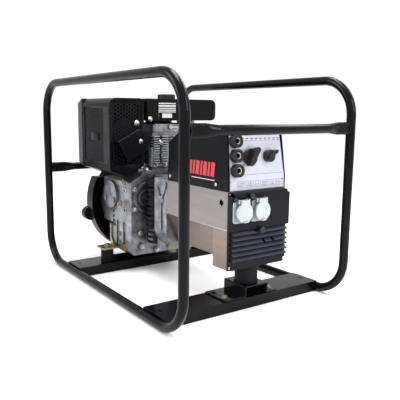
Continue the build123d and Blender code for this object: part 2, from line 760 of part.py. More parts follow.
def make_fuel_tank():
    """Sheet steel fuel tank with rounded edges and a filler neck."""
    tank = block(tank_rear_x, tank_front_x, tank_near_y, tank_far_y, tank_bottom_z, tank_top_z)
    far_edges = tank.edges().filter_by(Axis.X).sort_by(Axis.Y)[-2:]
    tank = fillet(far_edges, tank_corner)
    t = tank_wall
    inner = block(tank_rear_x + t, tank_front_x - t, tank_near_y + t, tank_far_y - t, tank_bottom_z + t, tank_top_z - t)
    inner = fillet(inner.edges().filter_by(Axis.X).sort_by(Axis.Y)[-2:], tank_corner - t)
    x, y = fuel_cap_place()
    neck = rod_z(fuel_cap_r - 6, x, y, tank_top_z - 1, tank_top_z + 6)
    for foot_x in (cylinder_x - tank_foot_spacing / 2, cylinder_x + tank_foot_spacing / 2):
        tank += block(foot_x - 7, foot_x + 7, axis_y - 30, axis_y + 30, rocker_top_z, tank_bottom_z + 1)
    return tank + neck - inner - rod_z(fuel_cap_r - 9, x, y, tank_top_z - 6, tank_top_z + 7)


def fuel_cap_place():
    return (tank_rear_x + tank_front_x) / 2 - 10, (tank_near_y + tank_far_y) / 2


def make_fuel_cap():
    """Screw cap over the filler neck."""
    x, y = fuel_cap_place()
    low = tank_top_z + clear
    cap = rod_z(fuel_cap_r, x, y, low, low + 17)
    cap = fillet(cap.edges().sort_by(Axis.Z)[-1], 4)
    cap -= rod_z(fuel_cap_r - 6 + clear, x, y, low - 1, low + 8)
    for i in range(8):
        a = math.radians(45 * i)
        cap -= rod_z(4, x + (fuel_cap_r + 2) * math.cos(a), y + (fuel_cap_r + 2) * math.sin(a), low + 1, low + 18)
    return cap


def cock_place():
    return tank_front_x - 30, tank_near_y + 190, tank_bottom_z


def make_fuel_cock():
    """Fuel cock under the tank."""
    x, y, z = cock_place()
    cock = rod_z(9, x, y, z - 24, z)
    return cock + rod_x(6, x, x + 12, y, z - 14)


def make_fuel_cock_lever():
    """Turning lever of the fuel cock."""
    x, y, z = cock_place()
    lever = rod_x(7, x + 12 + clear, x + 18, y, z - 14)
    return lever + block(x + 13, x + 18, y - 4, y + 4, z - 40, z - 14)


def make_air_cleaner():
    """Round air cleaner on the side away from the exhaust."""
    x0 = air_cleaner_x - air_cleaner_length / 2
    x1 = air_cleaner_x + air_cleaner_length / 2
    body = rod_x(air_cleaner_r, x0, x1, air_cleaner_y, air_cleaner_z)
    body = fillet(body.edges(), 6)
    for i in range(5):
        x = x0 + 16 + i * 14
        body -= ring_x(air_cleaner_r + 1, air_cleaner_r - 2.5, x, x + 5, air_cleaner_y, air_cleaner_z)
    return body


def guard_outline():
    """(y, z) outline of the exhaust guard, with the low point of its end face."""
    mid = (guard_near_y + guard_far_y) / 2
    return [(guard_near_y, guard_bottom_z), (mid, guard_bottom_z - 22), (guard_far_y, guard_bottom_z + 12),
            (guard_far_y, guard_top_z), (guard_near_y, guard_top_z)]


def guard_body(x0, x1, inset):
    """The guard's rounded outer form, or its inner form at an inset."""
    body = prism_x(guard_outline(), x0, x1)
    body = fillet(body.edges().filter_by(Axis.X).sort_by(Axis.Z)[-2:], guard_corner)
    if inset == 0:
        return body
    scaled = offset(body, amount=-inset)
    return scaled


def make_muffler_guard():
    """Sheet guard over the muffler, open at its inner side towards the head."""
    shell = guard_body(guard_rear_x, guard_front_x, 0) - guard_body(guard_rear_x, guard_front_x, guard_sheet)
    port_z = head_z + head_height / 2
    shell -= rod_y(22 + clear, cylinder_x, guard_far_y - 6, guard_far_y + 6, port_z)
    y, z = outlet_place()
    return shell - rod_x(outlet_r + clear, guard_front_x - 5, guard_front_x + 5, y, z)


def end_cap_form(x1, length, inset):
    """Tapered solid behind the guard: its outline at x1, drawn in towards the rear end."""
    outline = guard_outline()
    mid_y = sum(y for y, z in outline) / len(outline)
    mid_z = sum(z for y, z in outline) / len(outline)
    half = (guard_far_y - guard_near_y) / 2
    tall = (guard_top_z - guard_bottom_z) / 2
    faces = []
    for x, draw in ((x1, inset), (x1 - length, inset + cap_taper)):
        points = [(x, mid_y + (y - mid_y) * (1 - draw / half), mid_z + (z - mid_z) * (1 - draw / tall))
                  for y, z in outline]
        faces.append(make_face(Polyline(*points, close=True)))
    return loft(faces)


def make_end_cap():
    """Tapered end cap behind the guard, hollow and open towards it."""
    x1 = guard_rear_x - cap_gap
    cap = end_cap_form(x1, cap_length, 0)
    cap = fillet(cap.edges().group_by(Axis.X)[0], cap_corner)
    return cap - end_cap_form(x1 + clear, cap_length + clear - cap_wall, cap_wall)


def make_muffler():
    """Muffler can inside the guard, with its inlet flange and its tail stub."""
    mid_y = (guard_near_y + guard_far_y) / 2
    mid_z = (guard_bottom_z + guard_top_z) / 2 + 4
    can = rod_x(muffler_r, guard_rear_x + 14, guard_front_x - 14, mid_y, mid_z)
    can = fillet(can.edges(), 10)
    port_z = head_z + head_height / 2
    y, z = outlet_place()
    can += rod_x(outlet_r, guard_front_x - 40, guard_front_x + clear + deflector_wall, y, z)
    can += rod_y(18, cylinder_x, mid_y + 20, guard_far_y - port_gap, port_z)
    return can


def outlet_place():
    """(y, z) of the exhaust outlet, down the deflector from its bolt."""
    a = math.radians(deflector_tilt)
    return deflector_y - outlet_reach * math.cos(a), deflector_z - outlet_reach * math.sin(a)


def make_deflector():
    """Hollow exhaust deflector, round at its bolt and open at its lower end."""
    x0 = guard_front_x + clear
    x1 = x0 + deflector_depth

    def slab(radius, start, end):
        shape = rod_x(radius, start, end, 0, 0)
        shape += block(start, end, -deflector_reach, 0, -radius, radius)
        return shape

    w = deflector_wall
    hood = slab(deflector_r, x0, x1)
    hood = fillet(hood.edges().group_by(Axis.X)[-1].filter_by(Axis.Z, reverse=True), 3)
    cavity = rod_x(deflector_r - w, x0 + w, x1 - w, 0, 0)
    cavity += block(x0 + w, x1 - w, -deflector_reach - 5, 0, -deflector_r + w, deflector_r - w)
    hood -= cavity
    hood -= rod_x(outlet_r + clear, x0 - 1, x0 + w + 1, -outlet_reach, 0)
    hood -= rod_x(7, x1 - w - 1, x1 + 1, 0, 0)
    hood += rod_x(5, x0 + w - 1, x1 - w - 6, 0, 0) + hex_bolt(9, 4, x1 - w - 6, 0, 0, (1, 0, 0))
    return Pos(0, deflector_y, deflector_z) * Rot(deflector_tilt, 0, 0) * hood


def make_nameplate():
    """Blank rating plate with four rivets on the tank's end face."""
    x = tank_front_x
    y0, y1 = axis_y - 41, axis_y + 23
    z0, z1 = tank_bottom_z + 4, tank_bottom_z + 56
    plate = block(x, x + 1, y0, y1, z0, z1)
    for y in (y0 + 3, y1 - 3):
        for z in (z0 + 3, z1 - 3):
            plate += rod_x(1.6, x + 0.5, x + 2, y, z)
    return plate


def lever_place():
    return engine_face_x, case_far_y - 30, deck_z - 36


def make_speed_lever():
    """Speed lever on the crankcase cover."""
    x, y, z = lever_place()
    lever = rod_x(9, x + clear, x + 5, y, z) + rod_x(4, x + 5, x + 9, y, z)
    arm = block(x + 1, x + 4, y - 5, y + 5, z, z + 40)
    return lever + fillet(arm.edges().filter_by(Axis.X).group_by(Axis.Z)[-1], 4)


def decompression_place():
    return cylinder_x + cylinder_fin_half - 12 + clear, axis_y + 12, rocker_z + 18


def make_decompression_lever():
    """Decompression lever on the rocker cover's front."""
    x, y, z = decompression_place()
    lever = rod_x(7, x, x + 6, y, z)
    return lever + block(x + 2, x + 5, y, y + 30, z - 3, z + 3)


def oil_place():
    return case_front_x - 60, case_far_y - 4, axis_z - 10


def make_oil_filler_cap():
    """Oil filler cap with its dipstick, screwed into the crankcase side."""
    x, y, z = oil_place()
    cap = rod_y(14, x, y + 4 + clear, y + 16, z)
    cap += block(x - 3, x + 3, y + 14, y + 24, z - 12, z + 12)
    return cap


# ======================= adapter and alternator =======================

def make_adapter():
    """Cast adapter that joins the alternator to the engine cover."""
    near, far = casing_near_y, casing_far_y
    low = axis_z - casing_half_width - 10
    body = block(adapter_body_rear_x, casing_rear_x, near, far, low, casing_top_z)
    body = fillet(body.edges().filter_by(Axis.X).group_by(Axis.Z)[0], 60)
    body -= rod_x(adapter_bore_r, adapter_body_rear_x - 1, casing_rear_x + 1, axis_y, axis_z)
    seat_x = engine_face_x + 6
    body += rod_x(adapter_flange_r, seat_x, seat_x + adapter_wall, axis_y, axis_z)
    for angle in (50, 130, 230, 310):
        arm = block(seat_x, adapter_body_rear_x + 1, -9, 9, adapter_arm_inner_r, adapter_bore_r + adapter_wall)
        body += Pos(0, axis_y, axis_z) * Rot(angle - 90, 0, 0) * arm
    deck = block(seat_x, adapter_body_rear_x + 1, axis_y - 62, axis_y + 62, casing_top_z - 12, casing_top_z)
    body += deck
    for y in (-30, 30):
        body += block(seat_x, adapter_body_rear_x + 1, axis_y + y - 4, axis_y + y + 4,
                      axis_z + adapter_flange_r * 0.8, casing_top_z - 6)
    body -= rod_x(adapter_arm_inner_r, seat_x + adapter_wall, adapter_body_rear_x + 1, axis_y, axis_z)
    body -= rod_x(journal_r + 30, seat_x - 1, adapter_body_rear_x, axis_y, axis_z)
    for side, face in ((-1, near), (1, far)):
        for angle, length in ((62, 70), (118, 46), (270, 92)):
            a = math.radians(angle)
            bar = Pos(0, 0, length / 2) * Box(6, 8, length)
            middle = (adapter_body_rear_x + casing_rear_x) / 2 + 6
            body += Pos(middle, face, axis_z + 40) * Rot(0, 90 - angle, 0) * bar
        body += rod_y(12, (adapter_body_rear_x + casing_rear_x) / 2 + 6, face - 3, face + 3, axis_z + 44)
    for y, z in ((60, 30), (60, -30), (-10, -66), (-22, 66)):
        body += rod_x(seat_pad_r, engine_face_x, seat_x + 1, axis_y + y, axis_z + z)
    near_limit = block(engine_face_x, casing_rear_x, near - 4, far + 4, low, casing_top_z)
    return body & near_limit


def make_adapter_guards():
    """Curved louvred guards over the adapter's two side windows."""
    x0, x1 = engine_face_x + 9, adapter_body_rear_x - clear
    z0, z1 = axis_z - guard_below_axis, axis_z + guard_above_axis
    span = x1 - x0
    mid = (x0 + x1) / 2
    radius = (span * span / 4 + guard_bulge * guard_bulge) / (2 * guard_bulge)
    face = axis_y - casing_half_width - guard_out + guard_bulge
    centre_y = face - guard_bulge + radius
    skin = rod_z(radius, mid, centre_y, z0, z1) - rod_z(radius - guard_skin, mid, centre_y, z0 - 1, z1 + 1)
    skin = skin & block(x0, x1, face - guard_bulge - 1, face + 8, z0, z1)
    pitch = (z1 - z0 - 2 * guard_bar) / guard_slats
    for i in range(guard_slats):
        z = z0 + guard_bar + (i + 0.5) * pitch
        skin -= block(x0 + 6, x1 - 6, face - guard_bulge - 5, face + 13, z - pitch * 0.22, z + pitch * 0.22)
    turned = Pos(mid, axis_y, 0) * Rot(0, 0, 180) * Pos(-mid, -axis_y, 0) * skin
    return group([skin, turned])


def make_rotor():
    """Alternator rotor with its shaft, windings and cooling fan."""
    tail = casing_front_x - 2
    shaft = rod_x(rotor_shaft_r, engine_face_x + 30, tail, axis_y, axis_z)
    shaft -= rod_x(rotor_shaft_r - 2, engine_face_x + 29, engine_face_x + 60, axis_y, axis_z)
    half = rotor_length / 2
    shaft += rod_x(rotor_r, stator_centre_x - half, stator_centre_x + half, axis_y, axis_z)
    for i in range(4):
        slot = block(stator_centre_x - half - 1, stator_centre_x + half + 1, -5, 5, rotor_r - 12, rotor_r + 2)
        shaft -= Pos(0, axis_y, axis_z) * Rot(90 * i, 0, 0) * slot
    for end in (-1, 1):
        x = stator_centre_x + end * (half + 12)
        shaft += rod_x(rotor_r - 14, x - 13, x + 13, axis_y, axis_z)
    fan_x = adapter_body_rear_x + 12
    shaft += rod_x(rotor_fan_r, fan_x, fan_x + 4, axis_y, axis_z)
    blade = block(fan_x - 22, fan_x + 1, -1.5, 1.5, 30, rotor_fan_r)
    for i in range(12):
        shaft += Pos(0, axis_y, axis_z) * Rot(30 * i, 0, 0) * blade
    return shaft


def make_stator():
    """Laminated stator ring with its end windings, seated on the casing's slopes."""
    half = stator_length / 2
    core = rod_x(stator_r, stator_centre_x - half, stator_centre_x + half, axis_y, axis_z)
    core += rod_x(stator_r - 8, stator_centre_x - half - 24, stator_centre_x + half + 24, axis_y, axis_z)
    bore = rotor_r + air_gap
    core -= rod_x(bore, stator_centre_x - half - 40, stator_centre_x + half + 40, axis_y, axis_z)
    knee = axis_z + casing_knee_above_axis
    lugs = block(stator_centre_x - half, stator_centre_x + half, casing_near_y + casing_sheet, casing_far_y - casing_sheet,
                 knee, knee + 14)
    lugs -= rod_x(stator_r - 4, stator_centre_x - half - 1, stator_centre_x + half + 1, axis_y, axis_z)
    return core + lugs


def casing_outline(inset):
    """(y, z) outline of the wrapped casing: straight sides, then slopes to a flat bottom."""
    near, far = casing_near_y + inset, casing_far_y - inset
    knee = axis_z + casing_knee_above_axis
    low = axis_z - casing_below_axis + inset
    return [(near, casing_top_z - inset), (near, knee), (near + casing_slope_in - inset * 0.4, low),
            (far - casing_slope_in + inset * 0.4, low), (far, knee), (far, casing_top_z - inset)]


def make_casing():
    """Stainless steel wrapper, with the deeper square skirt that carries the front foot."""
    s = casing_sheet
    skirt_x = casing_front_x - skirt_length
    outer = prism_x(casing_outline(0), casing_rear_x, casing_front_x)
    outer += block(skirt_x, casing_front_x, casing_near_y, casing_far_y, skirt_bottom_z, casing_top_z)
    inner = prism_x(casing_outline(s), casing_rear_x - 1, casing_front_x + 1)
    inner += block(skirt_x + s, casing_front_x + 1, casing_near_y + s, casing_far_y - s, skirt_bottom_z + s,
                   casing_top_z - s)
    shell = outer - inner
    shell -= rod_z(mount_bolt_d / 2, front_channel_x, axis_y, skirt_bottom_z - 1, skirt_bottom_z + s + 1)
    shell -= rod_y(8, casing_front_x - 26, casing_near_y - 1, casing_near_y + s + 1, casing_top_z - 30)
    return shell


def make_end_shield():
    """Cast shield that carries the rotor bearing and the front foot."""
    s = casing_sheet + clear
    x1 = casing_front_x - 2
    x0 = x1 - end_shield_thick
    shield = block(x0, x1, casing_near_y + s, casing_far_y - s, skirt_bottom_z + s, casing_top_z - s)
    for angle in (45, 135, 225, 315):
        hole = Pos(0, 0, 58) * Rot(0, 90, 0) * Cylinder(20, 40)
        shield -= Pos((x0 + x1) / 2, axis_y, axis_z) * Rot(angle, 0, 0) * hole
    shield -= rod_x(bearing_outer_r, x0 - 1, x1 + 1, axis_y, axis_z)
    shield += ring_x(bearing_outer_r + 8, bearing_outer_r, x0 - 6, x1, axis_y, axis_z)
    foot_x0 = casing_front_x - skirt_length + s
    foot = block(foot_x0, x1, axis_y - 36, axis_y + 36, skirt_bottom_z + s, skirt_bottom_z + s + 8)
    foot -= rod_z(mount_bolt_d / 2, front_channel_x, axis_y, skirt_bottom_z, skirt_bottom_z + s + 20)
    return shield + foot


def slat_outline(tip_z):
    """(x, z) outline of one louvre: it slopes out and down, then turns back under."""
    root = casing_front_x + cover_depth_low
    tip = root + slat_out
    return [(root - 1, tip_z + slat_drop), (root, tip_z + slat_drop), (tip, tip_z + 1.5), (tip, tip_z), (root - 1, tip_z)]


def slat_tips():
    return [socket_box_bottom_z - 14 - i * slat_pitch for i in range(slat_count)]


def make_end_cover():
    """Moulded end cover: a box for the mains sockets above, sloping louvres below."""
    near, far = casing_near_y, casing_far_y
    x0 = casing_front_x
    low = skirt_bottom_z - 1
    w = cover_wall
    plate = block(x0, x0 + cover_depth_low, near, far, low, casing_top_z - 2)
    plate += block(x0, plate_x, near, far, socket_box_bottom_z, casing_top_z - 2)
    plate -= block(x0 - 1, plate_x - w, near + w, far - w, socket_box_bottom_z + w, casing_top_z - 2 - w)
    for y0, y1 in ((near - 1, near + cover_notch), (far - cover_notch, far + 1)):
        corner = block(x0 + w, plate_x + 1, y0, y1, casing_top_z - 2 - cover_notch, casing_top_z)
        plate -= corner
        lo, hi = (near, near + cover_notch + w) if y0 < near else (far - cover_notch - w, far)
        plate += block(x0, x0 + w, lo, hi, casing_top_z - 2 - cover_notch - w, casing_top_z - 2)
    for tip in slat_tips():
        plate += prism_y(slat_outline(tip), near + slat_end_gap, far - slat_end_gap)
    for i, tip in enumerate(slat_tips()[:-1]):
        plate -= block(x0 - 1, x0 + cover_depth_low + 1, near + 14, far - 14, tip - 3.2, tip - 0.6)
    for y in (axis_y + 12, axis_y + 44):
        plate -= block(x0 + cover_depth_low, x0 + cover_depth_low + slat_out + 1, y - 4, y + 4, slat_tips()[2] - 1,
                       slat_tips()[2] + slat_drop + 1)
    for y in socket_y:
        plate -= rod_x(socket_well_r + 2.5, plate_x - w - 1, plate_x + 1, y, socket_z)
    y, z, radius = button_spots[2]
    plate += rod_x(radius + 4, x0 + cover_depth_low - 1, plate_x, y, z)
    for y, z, _ in button_spots:
        plate -= rod_x(button_stem_r + clear, x0 - 1, plate_x + 1, y, z)
    for y0, y1 in ((near - 1, near + cover_notch), (far - cover_notch, far + 1)):
        plate -= block(x0 + w, plate_x + slat_out, y0, y1, low - 1, low + cover_notch + 4)
    return plate


def make_socket_bodies():
    """Two mains socket bodies: square flange, raised ring, round well, hinge ears and pin holes."""
    pieces = []
    half = socket_flange / 2
    x0 = plate_x
    x1 = x0 + socket_flange_thick
    for y in socket_y:
        body = block(x0, x1, y - half, y + half, socket_z - half, socket_z + half)
        body = fillet(body.edges().filter_by(Axis.X), 5)
        body += rod_x(socket_well_r + 2, x1 - socket_well_depth - 3, x1 + socket_ring_out, y, socket_z)
        body -= rod_x(socket_well_r, x1 - socket_well_depth, x1 + socket_ring_out + 1, y, socket_z)
        for dy in (-9.5, 9.5):
            body -= rod_x(2.5, x1 - socket_well_depth - 4, x1, y + dy, socket_z)
        ear_z = socket_z + half
        for side in (-1, 1):
            lo, hi = sorted((y + side * 14, y + side * 18))
            body += block(x0, x1 + 9, lo, hi, ear_z - 4, ear_z + 6)
            body -= rod_y(lid_pin_r + running_gap, x1 + 5, lo - 1, hi + 1, ear_z + 2)
        for dy, dz in ((-1, -1), (1, -1), (-1, 1), (1, 1)):
            body += screw(3, 1.5, x1 - 0.2, y + dy * (half - 4.5), socket_z + dz * (half - 4.5), (1, 0, 0))
        pieces.append(body)
    return group(pieces)


def lid_hinge(y):
    x1 = plate_x + socket_flange_thick
    return x1 + 5, y, socket_z + socket_flange / 2 + 2


def make_lid(y):
    """Hinged lid with its knuckle and pin."""
    hx, _, hz = lid_hinge(y)
    x0 = plate_x + socket_flange_thick + socket_ring_out + clear
    x1 = x0 + lid_thick
    disc = rod_x(lid_r, x0, x1, y, socket_z)
    disc = fillet(disc.edges().sort_by(Axis.X)[-1], 2.5)
    neck = block(x0, x1, y - 13, y + 13, socket_z + 14, hz + 3)
    lid = disc + fillet(neck.edges().filter_by(Axis.Z).sort_by(Axis.X)[-2:], 2)
    lid += block(hx - 3, x0 + 1, y - 13, y + 13, hz - 3, hz + 3) + rod_y(3, hx, y - 13, y + 13, hz)
    lid += rod_y(lid_pin_r, hx, y - 18, y + 18, hz)
    lid += block(x1 - 1, x1 + 3, y - 7, y + 7, socket_z - lid_r + 1, socket_z - lid_r + 4)
    return lid


def make_button(spot):
    """Push-to-reset button with a stem that runs in the cover."""
    y, z, radius = spot
    x = plate_x + button_travel + 1
    cap = rod_x(radius, x, x + 7, y, z)
    cap = fillet(cap.faces().sort_by(Axis.X)[-1].edges(), 2)
    return cap + rod_x(button_stem_r, plate_x - 14, x + 1, y, z)


# ======================= console =======================

def console_side(inset):
    """(x, z) outline of the console seen from the side."""
    rear = console_rear_x + inset
    top = console_top_z - inset
    wall_top = casing_top_z + console_rear_wall_height
    lean_top = casing_front_x - console_lean - inset
    return [(rear, casing_top_z + inset), (rear, wall_top - inset * 0.4),
            (rear + console_slope_run - inset * 0.2, top), (lean_top, top),
            (casing_front_x - inset, console_lean_from_z), (casing_front_x - inset, casing_top_z + inset)]


def console_end(inset):
    """(y, z) outline of the console seen from the end."""
    near, far = casing_near_y + inset, casing_far_y - inset
    top = console_top_z + 1
    return [(near, casing_top_z - 1), (near, console_lean_from_z), (near + console_taper, top),
            (far - console_taper, top), (far, console_lean_from_z), (far, casing_top_z - 1)]


def console_form(inset):
    side = prism_y(console_side(inset), casing_near_y - 1, casing_far_y + 1)
    return side & prism_x(console_end(inset), console_rear_x - 1, casing_front_x + 1)


def make_console_box():
    """Folded steel console with an open front behind the panel."""
    shell = console_form(0) - console_form(console_sheet)
    window = prism_y([(casing_front_x - 40, casing_top_z + lip_width), (casing_front_x + 5, casing_top_z + lip_width),
                      (casing_front_x + 5, console_top_z - lip_width), (casing_front_x - 40, console_top_z - lip_width)],
                     casing_near_y + lip_width, casing_far_y - lip_width)
    return shell - window


def panel_point(y, z):
    """The point of the console's front surface at a height, and the way out of it."""
    if z <= console_lean_from_z:
        return (casing_front_x, y, z), (1, 0, 0)
    share = (z - console_lean_from_z) / (console_top_z - console_lean_from_z)
    a = math.radians(lean_angle)
    return (casing_front_x - console_lean * share, y, z), (math.cos(a), 0, math.sin(a))


def on_panel(y, z, lift=0.0):
    """A plane standing on the panel's outer face, Z out of the panel."""
    point, out = panel_point(y, z)
    plane = Plane(origin=point, x_dir=(0, 1, 0), z_dir=out)
    return plane.offset(panel_sheet + lift)


def make_console_panel():
    """Silver front panel, bent once, with its openings."""
    low = casing_top_z + panel_rim_end - 2
    top = console_top_z - panel_rim_end - 2
    lean = console_lean * (top - console_lean_from_z) / (console_top_z - console_lean_from_z)
    t = panel_sheet
    x = casing_front_x
    strip = [(x, low), (x + t, low), (x + t, console_lean_from_z), (x - lean + t, top), (x - lean, top),
             (x, console_lean_from_z)]
    panel = prism_y(strip, casing_near_y - 1, casing_far_y + 1)
    near, far = casing_near_y + panel_rim_near, casing_far_y - panel_rim_far
    outline = [(near, low - 1), (near, console_lean_from_z), (near + 4, top + 1),
               (far - 11, top + 1), (far, console_lean_from_z), (far, low - 1)]
    panel = panel & prism_x(outline, x - 60, x + 10)
    for z in weld_socket_heights():
        panel -= extrude(on_panel(weld_socket_y, z, 5) * Circle(weld_socket_r - 3), amount=-20)
    for y in (switch_y, selector_y):
        panel -= extrude(on_panel(y, switch_z, 5) * Circle(spindle_r + 1), amount=-20)
    return panel


def weld_socket_heights():
    return [weld_socket_first_z + i * weld_socket_pitch for i in range(weld_socket_count)]


def make_weld_sockets():
    """Round insulated bodies of the three welding outlets."""
    pieces = []
    for z in weld_socket_heights():
        plane = on_panel(weld_socket_y, z)
        body = extrude(plane * Circle(weld_socket_r), amount=weld_socket_out)
        rear = extrude(plane * Circle(weld_socket_r - 3 - clear), amount=-weld_socket_in)
        body = fillet(body.faces().sort_by(Axis.X)[-1].edges(), 2)
        body += rear
        body -= extrude(plane.offset(weld_socket_out + 1) * Circle(weld_contact_r), amount=-weld_socket_in - 40)
        for i in range(3):
            ring = plane.offset(4 + 4 * i)
            body -= extrude(ring * (Circle(weld_socket_r + 1) - Circle(weld_socket_r - 1)), amount=1.5)
        pieces.append(body)
    return group(pieces)


def make_weld_contacts():
    """Brass contact sleeves inside the welding outlets."""
    pieces = []
    for z in weld_socket_heights():
        plane = on_panel(weld_socket_y, z)
        sleeve = extrude(plane.offset(weld_socket_out - 4) * Circle(weld_contact_r), amount=-weld_bore_depth - 8)
        sleeve -= extrude(plane.offset(weld_socket_out - 3) * Circle(weld_bore_r), amount=-weld_bore_depth - 1)
        pieces.append(sleeve)
    return group(pieces)


def make_current_switch():
    """Large rotary switch: round skirt, bar handle and spindle."""
    plane = on_panel(switch_y, switch_z, clear)
    knob = extrude(plane * Circle(switch_base_r), amount=9)
    knob = fillet(knob.edges().group_by(Axis.X)[-1], 2)
    bar = extrude(plane.offset(8) * Rot(0, 0, -36) * SlotOverall(56, 13, rotation=90), amount=17)
    knob += bar
    return knob + extrude(plane.offset(1) * Circle(spindle_r), amount=-24)


def make_selector_knob():
    """Small selector with a pointer."""
    plane = on_panel(selector_y, switch_z, clear)
    knob = extrude(plane * Circle(selector_base_r), amount=13)
    pointer = extrude(plane.offset(1) * Rot(0, 0, -60) * Pos(0, 8) * SlotOverall(38, 9, rotation=90), amount=17)
    return knob + pointer + extrude(plane.offset(1) * Circle(spindle_r), amount=-24)


def make_casing_screws():
    """Slotted screws of the console sides, the panel and the end cover."""
    pieces = []
    for x in (console_rear_x + 15, casing_front_x - 48):
        pieces.append(screw(4.5, 2.5, x, casing_near_y, casing_top_z + 15, (0, -1, 0)))
        pieces.append(screw(4.5, 2.5, x, casing_far_y, casing_top_z + 15, (0, 1, 0)))
    for y in (casing_near_y + panel_rim_near + 4, casing_far_y - panel_rim_far - 5):
        point, out = panel_point(y, console_lean_from_z - 6)
        pieces.append(screw(3, 1.8, point[0] + panel_sheet, y, point[2], out))
    for y in (casing_near_y + cover_screw_inset, casing_far_y - cover_screw_inset):
        x = casing_front_x + cover_wall
        pieces.append(screw(3.2, 3, x, y, casing_top_z - 6, (1, 0, 0)))
        pieces.append(screw(3.2, 3, x, y, skirt_bottom_z + 7, (1, 0, 0)))
    return group(pieces)


def build():
    nodes["hoop_near"] = make_hoop(-hoop_y)
    nodes["hoop_far"] = make_hoop(hoop_y)
    nodes["crossbar_front"] = make_crossbar(1, front_bar_z)
    nodes["crossbar_rear"] = make_crossbar(-1, rear_bar_z)
    front_bolts = [(hat_slot_xs()[1], y, hat_bolt_d) for y in hat_slot_places()]
    nodes["channel_front"] = make_channel(front_channel_x, front_bolts)
    rear_bolts = [(x, y, mount_bolt_d) for x, y, _ in rear_mount_places()]
    nodes["channel_rear"] = make_channel(rear_channel_x, rear_bolts)
    nodes["front_mount_bracket"] = make_front_bracket()
    nodes["rubber_mounts"] = make_rubber_mounts()
    nodes["rear_mount_angles"] = make_rear_angles()
    nodes["mount_fasteners"] = make_mount_fasteners()
    nodes["crankcase"] = make_crankcase()
    nodes["crankcase_cover"] = make_crankcase_cover()
    nodes["crankcase_bolts"] = make_crankcase_bolts()
    nodes["drain_plugs"] = make_drain_plugs()
    nodes["bearings"] = make_bearings()
    nodes["crankshaft"] = make_crankshaft()
    nodes["flywheel"] = make_flywheel()
    nodes["cylinder"] = make_cylinder()
    nodes["piston"] = make_piston()
    nodes["cylinder_head"] = make_cylinder_head()
    nodes["rocker_cover"] = make_rocker_cover()
    nodes["injection_pump"] = make_injection_pump()
    nodes["injector_pipe"] = make_injector_pipe()
    nodes["fan_housing"] = make_fan_housing()
    nodes["recoil_cover"] = make_recoil_cover()
    nodes["recoil_pulley"] = make_recoil_pulley()
    nodes["recoil_handle"] = make_recoil_handle()
    nodes["muffler"] = make_muffler()
    nodes["muffler_guard"] = make_muffler_guard()
    nodes["muffler_end_cap"] = make_end_cap()
    nodes["exhaust_deflector"] = make_deflector()
    nodes["fuel_tank"] = make_fuel_tank()
    nodes["fuel_cap"] = make_fuel_cap()
    nodes["fuel_cock"] = make_fuel_cock()
    nodes["fuel_cock_lever"] = make_fuel_cock_lever()
    nodes["air_cleaner"] = make_air_cleaner()
    nodes["nameplate"] = make_nameplate()
    nodes["speed_lever"] = make_speed_lever()
    nodes["decompression_lever"] = make_decompression_lever()
    nodes["oil_filler_cap"] = make_oil_filler_cap()
    nodes["adapter_casting"] = make_adapter()
    nodes["adapter_guards"] = make_adapter_guards()
    nodes["rotor"] = make_rotor()
    nodes["stator"] = make_stator()
    nodes["alternator_casing"] = make_casing()
    nodes["end_shield"] = make_end_shield()
    nodes["end_cover"] = make_end_cover()
    nodes["socket_bodies"] = make_socket_bodies()
    nodes["socket_lid_near"] = make_lid(socket_y[0])
    nodes["socket_lid_far"] = make_lid(socket_y[1])
    for i, spot in enumerate(button_spots):
        nodes[f"reset_button_{i + 1}"] = make_button(spot)
    nodes["console_box"] = make_console_box()
    nodes["console_panel"] = make_console_panel()
    nodes["weld_sockets"] = make_weld_sockets()
    nodes["weld_contacts"] = make_weld_contacts()
    nodes["current_switch"] = make_current_switch()
    nodes["selector_knob"] = make_selector_knob()
    nodes["casing_screws"] = make_casing_screws()


build()
os.makedirs("parts", exist_ok=True)
for name, shape in nodes.items():
    export_step(shape, f"parts/{name}.step")
print(len(nodes), "nodes written")
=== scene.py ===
# %% [markdown]
# An engine driven welder, dressed for a studio view.
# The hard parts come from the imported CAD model, which is loaded as a fixed frame.
# This lesson gives each part its finish, and rebuilds the pieces whose look needs more than CAD gives.

# %% Load the frame
import bpy
import bmesh
import json
import math
from mathutils import Matrix, Vector


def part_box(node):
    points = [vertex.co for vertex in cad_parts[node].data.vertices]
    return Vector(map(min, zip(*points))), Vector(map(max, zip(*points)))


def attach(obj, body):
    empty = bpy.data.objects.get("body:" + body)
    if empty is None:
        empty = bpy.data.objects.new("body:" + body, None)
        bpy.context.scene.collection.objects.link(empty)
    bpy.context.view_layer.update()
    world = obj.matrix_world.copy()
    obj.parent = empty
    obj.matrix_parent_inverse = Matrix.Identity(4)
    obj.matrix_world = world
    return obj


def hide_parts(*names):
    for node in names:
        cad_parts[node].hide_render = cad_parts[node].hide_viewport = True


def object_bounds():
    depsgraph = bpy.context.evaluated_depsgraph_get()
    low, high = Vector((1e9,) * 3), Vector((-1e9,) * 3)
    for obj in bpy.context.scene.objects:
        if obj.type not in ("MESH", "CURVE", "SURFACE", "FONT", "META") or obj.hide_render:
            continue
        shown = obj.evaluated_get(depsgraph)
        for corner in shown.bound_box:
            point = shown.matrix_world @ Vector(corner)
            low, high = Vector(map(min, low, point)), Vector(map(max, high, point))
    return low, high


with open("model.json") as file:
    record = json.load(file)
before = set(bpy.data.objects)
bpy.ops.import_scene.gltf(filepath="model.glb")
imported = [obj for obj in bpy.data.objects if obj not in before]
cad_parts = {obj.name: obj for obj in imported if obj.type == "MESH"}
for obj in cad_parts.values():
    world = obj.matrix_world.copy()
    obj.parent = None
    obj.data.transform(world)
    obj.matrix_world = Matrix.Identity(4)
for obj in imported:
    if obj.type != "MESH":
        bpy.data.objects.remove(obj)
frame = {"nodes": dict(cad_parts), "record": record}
cad_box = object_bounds()
mm = 0.001
